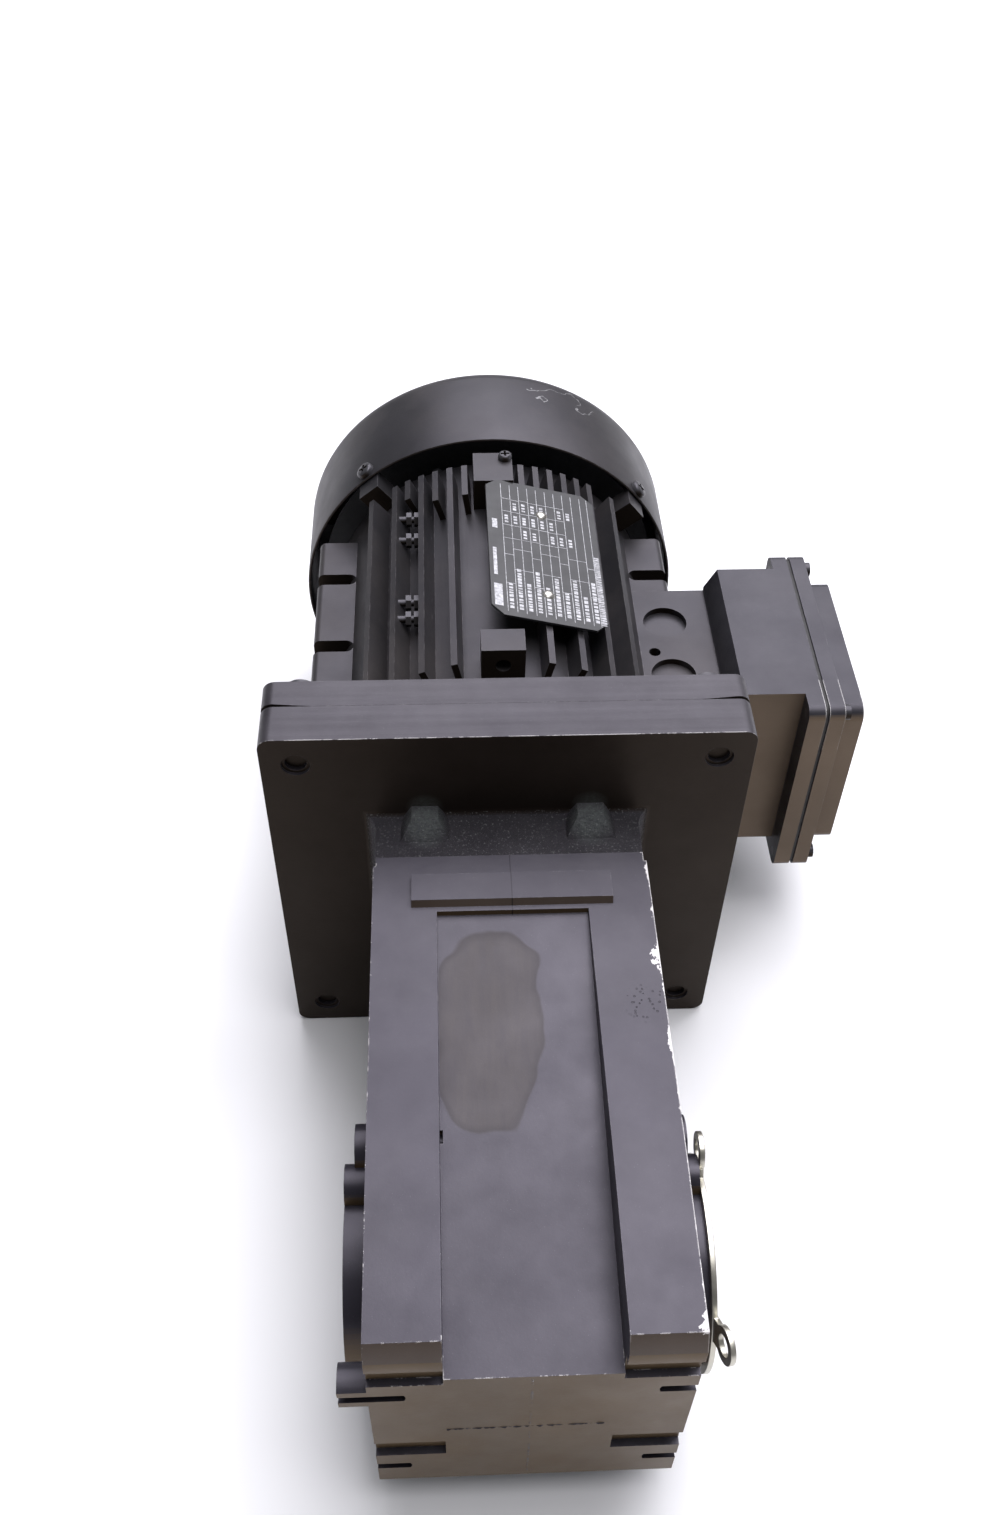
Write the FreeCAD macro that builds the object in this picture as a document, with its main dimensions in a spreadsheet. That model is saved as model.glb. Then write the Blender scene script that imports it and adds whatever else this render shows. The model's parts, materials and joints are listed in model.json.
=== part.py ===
import FreeCAD, Part
import math
import os

import Sketcher

# Right-angle bevel geared motor, in millimetres.
# Origin: centre of the hollow output bore.  +X along the output shaft, +Y towards the motor, +Z up.
# Three axes: the motor axis runs along Y at motor_z, the counter shaft along X at (counter_y, motor_z),
# and the hollow output shaft along X through the origin.

MODULE = 2.0
PRESSURE_ANGLE = math.radians(20)
BEVEL_PINION_TEETH = 13
BEVEL_WHEEL_TEETH = 31
COUNTER_PINION_TEETH = 17
OUTPUT_GEAR_TEETH = 37
CENTRE_DISTANCE = MODULE * (COUNTER_PINION_TEETH + OUTPUT_GEAR_TEETH) / 2
MOTOR_DROP = 21.0

DRIVING_SIZES = {
    # axes
    "motor_z": MOTOR_DROP,
    "counter_y": math.sqrt(CENTRE_DISTANCE ** 2 - MOTOR_DROP ** 2),
    # gear housing
    "housing_half": 50, "housing_front": -53, "housing_back": 125, "housing_top": 70, "housing_base": -46,
    "strip_bend": 3, "strip_end": -49.5, "strip_drop": 3.3, "end_chamfer": 10,
    "channel_half": 27, "channel_back": 100, "channel_high": 67.5, "channel_low": 46,
    "bar_half": 36, "bar_rise": 2.6, "bar_front": 100.8, "bar_back": 116,
    "cavity_radius": 41, "counter_cavity": 35, "cavity_half": 33,
    "rear_bore": 36, "rear_bore_start": 80,
    "groove_depth": 2.5, "slot_y": -50.5, "boss_y": 16, "boss_z": 31.8, "boss_radius": 7,
    "stop_boss_y": 27, "stop_boss_z": 36.5, "stop_boss_face": 55.5,
    "stop_boss_radius": 8, "thread_core": 3.4, "left_thread_core": 3.38, "output_face": 59, "seal_boss": 33,
    "plug_radius": 4.9, "drain_y": 10, "drain_z": 20, "filler_y": 88, "filler_z": 44,
    # side cover
    "cover_depth": 6, "cover_gasket": 0.5, "cover_front": -43, "cover_back": 91,
    "cover_low": -43, "cover_high": 61, "cover_corner": 8, "spigot_gap": 0.05,
    # bearings: bore radius, outside radius, width
    "output_bore": 20, "output_outside": 31, "output_width": 12,
    "counter_bore": 7.5, "counter_outside": 17.5, "counter_width": 11,
    "pinion_bore": 10, "pinion_outside": 23.5, "pinion_width": 14,
    "motor_bore": 12.5, "motor_outside": 26, "motor_width": 15,
    "seal_outside": 27.5, "seal_width": 7, "running_gap": 0.05,
    # flanges
    "plate_front": 146, "plate_back": 163, "flange_back": 176, "plate_half": 90, "plate_corner": 5,
    "plate_bolt": 77, "bolt_radius": 4,
    "neck_half": 49.5, "neck_high": 67, "neck_low": -30, "neck_fillet": 5,
    "flange_spigot": 55, "spigot_length": 3.5, "pinion_seat": 105, "pinion_stop": 121,
    "input_seal_seat": 17.5, "input_seal_start": 127, "neck_bore": 30, "neck_bore_start": 134,
    # motor frame
    "barrel_inside": 68, "barrel_outside": 73, "frame_back": 322, "fin_tip": 84, "fin_front": 192,
    "fin_back": 318, "fin_thick": 2.6, "front_hub": 32, "front_stop": 168,
    "rear_stop": 321, "shield_back": 333, "core_front": 200, "core_back": 295, "core_bore": 42,
    "air_gap": 0.4, "coil_reach": 21,
    "cowl_radius": 88, "cowl_front": 330.6, "cowl_back": 391, "cowl_wall": 1.5, "cowl_round": 12,
    # shafts
    "bore_radius": 12.5, "key_half": 4, "key_high": 15.8,
    "gear_left": -29, "gear_right": -11, "counter_seat": 10, "wheel_back": 24, "wheel_hub": 18,
    "pinion_hub": 12.5, "pinion_shaft": 8, "pinion_tail": 104, "shaft_front": 72, "fan_seat": 9,
    "fan_front": 345, "fan_radius": 84, "fan_disc": 80, "fan_hub": 16, "fan_width": 20, "shaft_back": 368,
    "fan_shoulder": 338, "nose_back": 140, "rotor_seat": 16,
    # terminal box
    "box_left": 94, "box_right": 131, "box_front": 204, "box_back": 283, "box_low": -19, "box_high": 72,
    "rim_thick": 7, "lid_flange": 6.5, "lid_right": 150, "lid_front": 193, "lid_back": 294, "lid_low": -28,
    "lid_high": 72, "lid_crown": 8.5, "box_wall": 3.5, "adaptor_left": 61, "adaptor_low": -12,
    # foot ledges beside the barrel
    "ledge_top": 60, "ledge_outer": 79, "ledge_inner": 54, "ledge_front": 182, "ledge_back": 320,
    # screws
    "neck_thread": 106, "cover_screw": 2.5, "lid_screw": 2.0,
}

doc = FreeCAD.newDocument("geared_motor")
sheet = doc.addObject("Spreadsheet::Sheet", "Sizes")


class Size:
    """A length that knows both its number and the sheet expression it comes from."""

    def __init__(self, number, text):
        self.number = number
        self.text = text

    def __add__(self, other):
        return Size(self.number + amount(other), "(%s + %s)" % (self.text, words(other)))

    def __sub__(self, other):
        return Size(self.number - amount(other), "(%s - %s)" % (self.text, words(other)))

    def __mul__(self, other):
        return Size(self.number * amount(other), "(%s * %s)" % (self.text, words(other)))

    def __truediv__(self, other):
        return Size(self.number / amount(other), "(%s / %s)" % (self.text, words(other)))

    def __neg__(self):
        return Size(-self.number, "(0 - %s)" % self.text)

    def __radd__(self, other):
        return self + other

    def __rsub__(self, other):
        return -self + other

    def __rmul__(self, other):
        return self * other


def amount(value):
    return value.number if isinstance(value, Size) else float(value)


def words(value):
    return value.text if isinstance(value, Size) else "(%.6f)" % value


size = {}
for row, (alias, number) in enumerate(DRIVING_SIZES.items(), start=1):
    sheet.set("A%d" % row, alias)
    sheet.set("B%d" % row, "%.6f" % number)
    sheet.setAlias("B%d" % row, alias)
    size[alias] = Size(float(number), "Sizes." + alias)
doc.recompute()

# Rotations that take a cylinder's own Z to each axis, and a profile's own XY plane to the plane across
# each axis: (y, z) across X, (z, x) across Y and (x, y) across Z.
ALONG = {"x": FreeCAD.Rotation(FreeCAD.Vector(1, 1, 1), 120),
         "y": FreeCAD.Rotation(FreeCAD.Vector(1, 1, 1), 240),
         "z": FreeCAD.Rotation()}
MOTOR_AXIS = ("y", size["motor_z"], 0)
COUNTER_AXIS = ("x", size["counter_y"], size["motor_z"])
OUTPUT_AXIS = ("x", 0, 0)


def bind(thing, field, value):
    """Set a property, and tie it to the sheet if its value comes from there."""
    if isinstance(value, Size):
        thing.setExpression(field, value.text)


def spot(axis, across_a, across_b, along):
    """Row coordinates of a point given along an axis and across it."""
    return {"x": (along, across_a, across_b), "y": (across_b, along, across_a),
            "z": (across_a, across_b, along)}[axis]


def place(thing, point, turn=FreeCAD.Rotation()):
    thing.Placement = FreeCAD.Placement(FreeCAD.Vector(*[amount(value) for value in point]), turn)
    for letter, value in zip("xyz", point):
        bind(thing, "Placement.Base." + letter, value)
    return thing


def rod(line, start, end, radius):
    """A cylinder along a line, which is an axis letter and two coordinates across it."""
    axis, across_a, across_b = line
    cylinder = doc.addObject("Part::Cylinder", "rod")
    cylinder.Radius = amount(radius)
    cylinder.Height = amount(end) - amount(start)
    bind(cylinder, "Radius", radius)
    if isinstance(start, Size) or isinstance(end, Size):
        cylinder.setExpression("Height", "%s - %s" % (words(end), words(start)))
    return place(cylinder, spot(axis, across_a, across_b, start), ALONG[axis])


def block(x_range, y_range, z_range):
    box = doc.addObject("Part::Box", "block")
    for field, (low, high) in zip(("Length", "Width", "Height"), (x_range, y_range, z_range)):
        setattr(box, field, amount(high) - amount(low))
        box.setExpression(field, "%s - %s" % (words(high), words(low)))
    return place(box, (x_range[0], y_range[0], z_range[0]))


def rounded(thing, radius, chosen):
    """Fillet the edges for which chosen(edge) is true."""
    doc.recompute()
    fillet = doc.addObject("Part::Fillet", "rounded")
    fillet.Base = thing
    numbers = [n for n, edge in enumerate(thing.Shape.Edges, start=1) if chosen(edge)]
    fillet.Edges = [(n, amount(radius), amount(radius)) for n in numbers]
    return fillet


def runs_along(axis):
    """A test for straight edges along one axis."""
    def chosen(edge):
        straight = edge.Curve.TypeId == "Part::GeomLine"
        return straight and abs(getattr(edge.Curve.Direction, axis)) > 0.99
    return chosen


def fused(items):
    if len(items) == 1:
        return items[0]
    union = doc.addObject("Part::MultiFuse", "fused")
    union.Shapes = items
    return union


def cut(base, tools):
    difference = doc.addObject("Part::Cut", "cut")
    difference.Base = base
    difference.Tool = fused(tools)
    return difference


def common(first, second):
    both = doc.addObject("Part::Common", "common")
    both.Base = first
    both.Tool = second
    return both


def group(items):
    """Separate solids that share one sub-part, such as a set of screws."""
    compound = doc.addObject("Part::Compound", "group")
    compound.Links = items
    return compound


def profile_sketch(body, outline):
    """A closed polygon whose corners are tied to the sheet, on the body's own XY plane."""
    plane = [item for item in body.Origin.OriginFeatures if item.Role == "XY_Plane"][0]
    sketch = body.newObject("Sketcher::SketchObject", "profile")
    sketch.AttachmentSupport = [(plane, "")]
    sketch.MapMode = "FlatFace"
    corners = [FreeCAD.Vector(amount(u), amount(v), 0) for u, v in outline]
    count = len(corners)
    for n in range(count):
        sketch.addGeometry(Part.LineSegment(corners[n], corners[(n + 1) % count]), False)
    for n in range(count):
        sketch.addConstraint(Sketcher.Constraint("Coincident", n, 2, (n + 1) % count, 1))
    for n, corner in enumerate(outline):
        for kind, value in zip(("DistanceX", "DistanceY"), corner):
            index = sketch.addConstraint(Sketcher.Constraint(kind, -1, 1, n, 1, amount(value)))
            bind(sketch, "Constraints[%d]" % index, value)
    return sketch


def prism(axis, outline, start, end):
    """A padded outline: (y, z) corners for axis x, (z, x) for axis y, (x, y) for axis z."""
    body = doc.addObject("PartDesign::Body", "prism")
    sketch = profile_sketch(body, outline)
    pad = body.newObject("PartDesign::Pad", "pad")
    pad.Profile = sketch
    pad.Length = amount(end) - amount(start)
    pad.setExpression("Length", "%s - %s" % (words(end), words(start)))
    sketch.Visibility = False
    return place(body, spot(axis, 0, 0, start), ALONG[axis])


# Turned pieces are drawn in their own XY plane, X along the piece's axis and Y its radius.
TURNED = {"x": FreeCAD.Rotation(), "y": FreeCAD.Rotation(FreeCAD.Vector(0, 0, 1), 90)}


def turned(line, outline):
    """A revolved outline of (distance along the line, radius) corners."""
    axis, across_a, across_b = line
    body = doc.addObject("PartDesign::Body", "turned")
    sketch = profile_sketch(body, outline)
    revolution = body.newObject("PartDesign::Revolution", "revolution")
    revolution.Profile = sketch
    revolution.ReferenceAxis = (sketch, ["H_Axis"])
    revolution.Angle = 360
    sketch.Visibility = False
    return place(body, spot(axis, across_a, across_b, 0), TURNED[axis])


def tube(line, start, end, inside, outside):
    return turned(line, [(start, inside), (end, inside), (end, outside), (start, outside)])


def plain(shape):
    """A computed shape, for tooth forms that no sketch or primitive gives."""
    feature = doc.addObject("Part::Feature", "computed")
    feature.Shape = shape
    return feature


def ring_of(count, first_angle=0.0):
    return [first_angle + 2 * math.pi * n / count for n in range(count)]


def rod_between(line, one_end, other_end, radius):
    """A rod whose two ends come in either order."""
    low, high = sorted((one_end, other_end), key=amount)
    return rod(line, low, high, radius)


def socket_screw(line, head_end, head_start, tip, radius):
    """A socket head screw from its head's outer end to its tip, along a line."""
    inward = -1 if amount(head_end) > amount(tip) else 1
    head = rod_between(line, head_end, head_start, radius * 1.6)
    shank = rod_between(line, head_start, tip, radius)
    socket = rod_between(line, head_end, head_end + radius * 1.1 * inward, radius * 0.8)
    return cut(fused([head, shank]), [socket])


# ---------------------------------------------------------------- gear teeth

def involute_half(teeth, shift, backlash, tip_trim=0.0):
    """Half a tooth as (radius, half angle) points from root to tip, in modules of a plane gear."""
    pitch = MODULE * teeth / 2
    base = pitch * math.cos(PRESSURE_ANGLE)
    tip = pitch + MODULE * (1 + shift) - tip_trim
    root = pitch - MODULE * (1.25 - shift)
    half = (MODULE * (math.pi / 2 + 2 * shift * math.tan(PRESSURE_ANGLE)) - backlash) / (2 * pitch)
    inv_pitch = math.tan(PRESSURE_ANGLE) - PRESSURE_ANGLE
    points = [(root, None)]
    low = max(base, root)
    steps = 6
    for n in range(steps + 1):
        radius = low + (tip - low) * (n / steps)
        angle = math.acos(min(1.0, base / radius))
        points.append((radius, half + inv_pitch - (math.tan(angle) - angle)))
    points[0] = (root, points[1][1])
    if low == root:
        points.pop(0)
    return points


def spur_gear(teeth, start, end, line, tooth_angle, backlash):
    """A solid spur gear about a line along X; tooth_angle is a tooth's direction from +Y to +Z."""
    half = involute_half(teeth, 0.0, backlash)
    edges = []
    pitch_angle = 2 * math.pi / teeth

    def point(radius, angle):
        return FreeCAD.Vector(0, radius * math.cos(angle), radius * math.sin(angle))

    for n in range(teeth):
        middle = tooth_angle + n * pitch_angle
        rising = [point(radius, middle - angle) for radius, angle in half]
        falling = [point(radius, middle + angle) for radius, angle in reversed(half)]
        for flank in (rising, falling):
            if half[0][1] == half[1][1]:
                ends = (flank[0], flank[1]) if flank is rising else (flank[-2], flank[-1])
                curve_points = flank[1:] if flank is rising else flank[:-1]
            else:
                ends, curve_points = None, flank
            curve = Part.BSplineCurve()
            curve.interpolate(curve_points)
            if flank is rising and ends:
                edges.append(Part.makeLine(*ends))
            edges.append(curve.toShape())
            if flank is rising:
                edges.append(Part.Arc(rising[-1], point(half[-1][0], middle), falling[0]).toShape())
            elif ends:
                edges.append(Part.makeLine(*ends))
        root_middle = point(half[0][0], middle + pitch_angle / 2)
        root_end = point(half[0][0], middle + pitch_angle - half[0][1])
        edges.append(Part.Arc(falling[-1], root_middle, root_end).toShape())
    outline = Part.Face(Part.Wire(edges))
    solid = outline.extrude(FreeCAD.Vector(end - start, 0, 0))
    solid.translate(FreeCAD.Vector(start, amount(line[1]), amount(line[2])))
    return solid


def bevel_teeth(teeth, mate_teeth, shift, backlash, face_width):
    """Straight bevel teeth about +Z with the pitch apex at the origin; the first tooth points to +X."""
    cone = math.atan2(teeth, mate_teeth)
    reach = MODULE * math.hypot(teeth, mate_teeth) / 2
    half = involute_half(teeth / math.cos(cone), shift, backlash)
    virtual_pitch = MODULE * teeth / math.cos(cone) / 2
    root = half[0][0]
    half = [(root - 0.8, half[0][1] + 0.02)] + half
    out = FreeCAD.Vector(math.sin(cone), 0, math.cos(cone))
    up = FreeCAD.Vector(math.cos(cone), 0, -math.sin(cone))
    side = FreeCAD.Vector(0, 1, 0)

    def wire(scale):
        def point(radius, angle):
            height = radius * math.cos(angle) - virtual_pitch
            return (out * reach + up * height + side * (radius * math.sin(angle))) * scale
        left = [point(radius, -angle) for radius, angle in half]
        right = [point(radius, angle) for radius, angle in reversed(half)]
        return Part.makePolygon(left + right + [left[0]])

    tooth = Part.makeLoft([wire(1.0), wire((reach - face_width) / reach)], True, True)
    solids = []
    for angle in ring_of(teeth):
        copy = tooth.copy()
        copy.rotate(FreeCAD.Vector(), FreeCAD.Vector(0, 0, 1), math.degrees(angle))
        solids.append(copy)
    return solids


def bevel_root(teeth, mate_teeth, shift, face_width):
    """Corners of the root cone under the teeth, as (distance from the apex, radius)."""
    cone = math.atan2(teeth, mate_teeth)
    reach = MODULE * math.hypot(teeth, mate_teeth) / 2
    depth = MODULE * (1.25 - shift)
    outer = (reach * math.cos(cone) + depth * math.sin(cone),
             reach * math.sin(cone) - depth * math.cos(cone))
    scale = (reach - face_width) / reach
    return outer, (outer[0] * scale, outer[1] * scale)


def turned_shape(corners):
    """A plain revolved solid about +Z of (distance, radius) corners."""
    points = [FreeCAD.Vector(radius, 0, distance) for distance, radius in corners]
    face = Part.Face(Part.makePolygon(points + [points[0]]))
    return face.revolve(FreeCAD.Vector(), FreeCAD.Vector(0, 0, 1), 360)


# ---------------------------------------------------------------- ball bearings

BALLS = 9
RING_SHARE = 0.3


def bearing(line, start, end, inside, outside):
    """Outer ring with its balls, and the inner ring, of a deep groove ball bearing."""
    span = outside - inside
    inner_top = inside + span * RING_SHARE
    outer_bottom = outside - span * RING_SHARE
    middle = (inside + outside) / 2
    centre = (start + end) / 2
    ball = amount(span) * 0.27
    axis, across_a, across_b = line
    grooves = []
    for radius in (ball + 0.02, ball + 0.25):
        torus = doc.addObject("Part::Torus", "groove")
        torus.Radius1 = amount(middle)
        torus.Radius2 = radius
        bind(torus, "Radius1", middle)
        grooves.append(place(torus, spot(axis, across_a, across_b, centre), ALONG[axis]))
    outer = cut(rod(line, start, end, outside), [rod(line, start, end, outer_bottom), grooves[0]])
    inner = cut(rod(line, start, end, inner_top), [rod(line, start, end, inside), grooves[1]])
    balls = []
    for angle in ring_of(BALLS):
        sphere = doc.addObject("Part::Sphere", "ball")
        sphere.Radius = ball
        point = spot(axis, middle * math.cos(angle) + across_a, middle * math.sin(angle) + across_b, centre)
        balls.append(place(sphere, point))
    return [outer] + balls, inner


subparts = {}


def part(label, thing):
    """Name a finished sub-part; its label is its node and its file."""
    thing.Label = label
    subparts[label] = thing


s = size
half = s["housing_half"]
motor_z = s["motor_z"]
over = 1.0  # how far a cutting tool runs past the face it cuts

# ---------------------------------------------------------------- gear housing

MOUNT_HOLE_DEPTH = 11.0
BOSS_HOLE_DEPTH = 6.0
DRILL_POINT = 2.0
END_GROOVES = ((42, 53), (-21, -9))
DRAIN_LINE = ("z", s["drain_y"], s["drain_z"])
DRAIN_TOP = -36.0
FILLER_LINE = ("x", s["filler_y"], s["filler_z"])
FILLER_END = 20.0
SCREW_HOLE_START = 4.0
SCREW_HOLE_END = 24.0


def counter_space(start, end):
    return rod(COUNTER_AXIS, start, end, s["counter_cavity"])


def drilled(y, z, outer, inner):
    """A threaded hole's core with the drill's cone at its bottom, running in from a side face."""
    sign = 1 if amount(outer) > amount(inner) else -1
    radius = s["thread_core"] if sign > 0 else s["left_thread_core"]
    hole = rod_between(("x", y, z), inner, outer, radius)
    cone = doc.addObject("Part::Cone", "drill_point")
    cone.Radius1 = 0
    cone.Radius2 = amount(radius)
    cone.Height = DRILL_POINT
    bind(cone, "Radius2", radius)
    turn = ALONG["x"] if sign > 0 else FreeCAD.Rotation(FreeCAD.Vector(0, 1, 0), -90)
    place(cone, (inner - DRILL_POINT * sign, y, z), turn)
    return fused([hole, cone])


def gear_housing():
    strip_low = s["housing_top"] - s["strip_drop"]
    casting = prism("x", [
        (s["housing_back"], s["housing_base"]), (s["housing_back"], s["housing_top"]),
        (s["strip_bend"], s["housing_top"]), (s["strip_end"], strip_low),
        (s["housing_front"], s["housing_top"] - s["end_chamfer"]),
        (s["housing_front"], s["housing_base"])], -half, half)
    bar = prism("x", [
        (s["bar_back"], s["housing_top"] - 2), (s["bar_back"] - 1, s["housing_top"] + s["bar_rise"]),
        (s["bar_front"] + 2.5, s["housing_top"] + s["bar_rise"]), (s["bar_front"], s["housing_top"] - 2)],
        -s["bar_half"], s["bar_half"])
    face = s["output_face"]
    bosses = [rod(OUTPUT_AXIS, half - 2, face, s["seal_boss"]),
              rod(("x", s["boss_y"], s["boss_z"]), half - 2, face, s["boss_radius"])]
    stop_line = ("x", s["stop_boss_y"], s["stop_boss_z"])
    bosses.append(rod(stop_line, half - 2, s["stop_boss_face"], s["stop_boss_radius"]))
    end_boss = rod(("x", s["slot_y"] + 1.5, s["boss_z"]), -face, 2 - half, s["boss_radius"])
    bosses.append(common(end_boss, block((-face, 2 - half), (s["housing_front"], 0), (0, 60))))
    whole = fused([casting, bar] + bosses)
    channel = prism("x", [
        (s["channel_back"], s["housing_top"] + 5), (s["channel_back"], s["channel_high"]),
        (s["housing_front"] - 5, s["channel_low"] - 0.7), (s["housing_front"] - 5, s["housing_top"] + 5)],
        -s["channel_half"], s["channel_half"])
    tools = [channel]
    for low, high in ((-half - over, -s["channel_half"]), (s["channel_half"], half + over)):
        for groove in END_GROOVES:
            depth = (s["housing_front"] - over, s["housing_front"] + s["groove_depth"])
            tools.append(block((low, high), depth, groove))
    for low, high in ((-half - over, over - half), (half - over, half + over)):
        tools.append(block((low, high), (s["housing_back"] - 4, s["housing_back"] + over), (-50, 75)))
    recess = rounded(block((-half - over, s["cover_depth"] + s["cover_gasket"] - half),
                           (s["cover_front"], s["cover_back"]), (s["cover_low"], s["cover_high"])),
                     s["cover_corner"], runs_along("x"))
    inner = s["cavity_half"]
    stop = inner + s["output_width"]
    tools += [recess,
              rod(OUTPUT_AXIS, -half, inner, s["cavity_radius"]), counter_space(-half, inner),
              rod(MOTOR_AXIS, s["rear_bore_start"], s["housing_back"] + over, s["rear_bore"]),
              rod(OUTPUT_AXIS, inner - over, stop, s["output_outside"]),
              rod(OUTPUT_AXIS, stop - over, face + over, s["seal_outside"]),
              rod(COUNTER_AXIS, inner - over, half + over, s["counter_outside"]),
              drilled(s["boss_y"], s["boss_z"], face + over, half - BOSS_HOLE_DEPTH),
              drilled(s["boss_y"], -s["boss_z"], half + over, half - MOUNT_HOLE_DEPTH),
              rod(DRAIN_LINE, s["housing_base"] - over, DRAIN_TOP, s["plug_radius"]),
              rod(FILLER_LINE, FILLER_END, half + over, s["plug_radius"])]
    for x, z in NECK_SCREWS:
        screw_line = ("y", motor_z + z, x)
        tools.append(rod(screw_line, s["neck_thread"], s["housing_back"] + over, s["bolt_radius"]))
    for side in (1, -1):
        outer = face + over
        tools.append(drilled(s["slot_y"], s["boss_z"], outer * side, (half - MOUNT_HOLE_DEPTH) * side))
        tools.append(drilled(s["slot_y"], -s["boss_z"], outer * side, (half - MOUNT_HOLE_DEPTH) * side))
    for y, z in COVER_SCREWS:
        tools.append(rod(("x", y, z), SCREW_HOLE_START - half, SCREW_HOLE_END - half, s["cover_screw"]))
    return cut(whole, tools)


NECK_SCREWS = [(sx * 40, sz * 24) for sx in (-1, 1) for sz in (-1, 1)]
COVER_SCREWS = [(-37, -37), (-37, 55), (30, -37), (20, 55), (85, -37), (85, 55)]
part("gear_housing", gear_housing())


def side_cover():
    face = -s["output_face"]
    plate = rounded(block((-half, s["cover_depth"] - half), (s["cover_front"], s["cover_back"]),
                          (s["cover_low"], s["cover_high"])), s["cover_corner"], runs_along("x"))
    inner = -s["cavity_half"]
    stop = inner - s["output_width"]
    spigots = [rod(OUTPUT_AXIS, s["cover_depth"] - half, inner, s["cavity_radius"] - s["spigot_gap"]),
               rod(COUNTER_AXIS, s["cover_depth"] - half, inner, s["counter_cavity"] - s["spigot_gap"])]
    bosses = [rod(OUTPUT_AXIS, face, 2 - half, s["seal_boss"]),
              rod(("x", s["boss_y"], s["boss_z"]), face, 2 - half, s["boss_radius"]),
              rod(("x", s["stop_boss_y"], s["stop_boss_z"]), -s["stop_boss_face"], 2 - half,
                  s["stop_boss_radius"])]
    tools = [rod(OUTPUT_AXIS, stop, inner + over, s["output_outside"]),
             rod(OUTPUT_AXIS, face - over, stop + over, s["seal_outside"]),
             rod(COUNTER_AXIS, -half - over, inner + over, s["counter_outside"]),
             drilled(s["boss_y"], s["boss_z"], face - over, -half + BOSS_HOLE_DEPTH),
             drilled(s["boss_y"], -s["boss_z"], -half - over, -half + MOUNT_HOLE_DEPTH)]
    for y, z in COVER_SCREWS:
        tools.append(rod(("x", y, z), -half - over, over * 7 - half, s["cover_screw"]))
        tools.append(rod(("x", y, z), -half - over, 3 - half, s["cover_screw"] * 1.6))
    return cut(fused([plate] + spigots + bosses), tools)


def side_cover_gasket():
    low = s["cover_depth"] - half
    high = low + s["cover_gasket"]
    sheet_stock = rounded(block((low, high), (s["cover_front"], s["cover_back"]),
                                (s["cover_low"], s["cover_high"])), s["cover_corner"], runs_along("x"))
    tools = [rod(OUTPUT_AXIS, low - over, high + over, s["cavity_radius"]),
             rod(COUNTER_AXIS, low - over, high + over, s["counter_cavity"])]
    tools += [rod(("x", y, z), low - over, high + over, s["cover_screw"]) for y, z in COVER_SCREWS]
    return cut(sheet_stock, tools)


part("side_cover", side_cover())
part("side_cover_gasket", side_cover_gasket())
part("side_cover_screws", group([socket_screw(("x", y, z), -half, 3 - half, 22 - half, s["cover_screw"])
                                 for y, z in COVER_SCREWS]))


def output_seal(side):
    """A radial shaft seal between the bearing and the open air; side is 1 on the right."""
    inner, outer = s["output_face"] - s["seal_width"] - 0.5, s["output_face"] - 0.5
    low, high = (inner, outer) if side > 0 else (-outer, -inner)
    lip = s["output_bore"] + s["running_gap"]
    return turned(OUTPUT_AXIS, [(low, lip + 3), (low + 2.5, lip), (high - 2.5, lip), (high, lip + 3),
                                (high, s["seal_outside"]), (low, s["seal_outside"])])


part("output_seal_left", output_seal(-1))
part("output_seal_right", output_seal(1))


CAP_LIP = 1.2


def counter_cap(side):
    """A pressed-in sheet cap over a counter shaft bore, with a thin flange on the side face."""
    line, sign = COUNTER_AXIS, side
    low, high = (half - 5, half) if sign > 0 else (-half, 5 - half)
    rim = (half, half + 2) if sign > 0 else (-half - 2, -half)
    return fused([rod(line, low, high, s["counter_outside"]),
                  rod(line, rim[0], rim[1], s["counter_outside"] + CAP_LIP)])


part("counter_bore_caps", group([counter_cap(-1), counter_cap(1)]))


def oil_plug(line, outer, inner, socket_depth):
    """A hexagon-socket plug; outer is its visible end."""
    inward = -1 if amount(outer) > amount(inner) else 1
    socket = rod_between(line, outer, outer + socket_depth * inward, PLUG_SOCKET)
    return cut(rod_between(line, outer, inner, s["plug_radius"]), [socket])


PLUG_SOCKET = 2.5
part("drain_plug", oil_plug(DRAIN_LINE, s["housing_base"], -41.5, 3))
part("filler_plug", oil_plug(FILLER_LINE, half, 38, 4))

# ---------------------------------------------------------------- cover ring on the right output face

RING_LUGS = 4
LUG_RADIUS = 43.5
LUG_TURN = math.degrees(math.atan2(26, -44))
LUG_CRANK = 13.0
RING_THICK = 2.0
RING_OUTSIDE = 36.0
RING_OPENING = 28.0
LUG_ROOT = 33.0
LUG_WIDTH = 9.0
EYE_RADIUS = 6.3
EYE_HOLE = 3.5


def ring_lug(angle, crank):
    """One lug of the ring, bent outward by crank degrees about its root; drawn along +Y, then turned."""
    face = amount(s["output_face"])
    along_x = FreeCAD.Vector(1, 0, 0)
    strip_corner = FreeCAD.Vector(face, LUG_ROOT, -LUG_WIDTH / 2)
    strip = Part.makeBox(RING_THICK, LUG_RADIUS - LUG_ROOT, LUG_WIDTH, strip_corner)
    eye = Part.makeCylinder(EYE_RADIUS, RING_THICK, FreeCAD.Vector(face, LUG_RADIUS, 0), along_x)
    hole = Part.makeCylinder(EYE_HOLE, RING_THICK + 2, FreeCAD.Vector(face - 1, LUG_RADIUS, 0), along_x)
    lug = strip.fuse(eye).cut(hole)
    lug.rotate(FreeCAD.Vector(face, LUG_ROOT, 0), FreeCAD.Vector(0, 0, 1), -crank)
    lug.rotate(FreeCAD.Vector(), FreeCAD.Vector(1, 0, 0), angle)
    return lug


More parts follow.
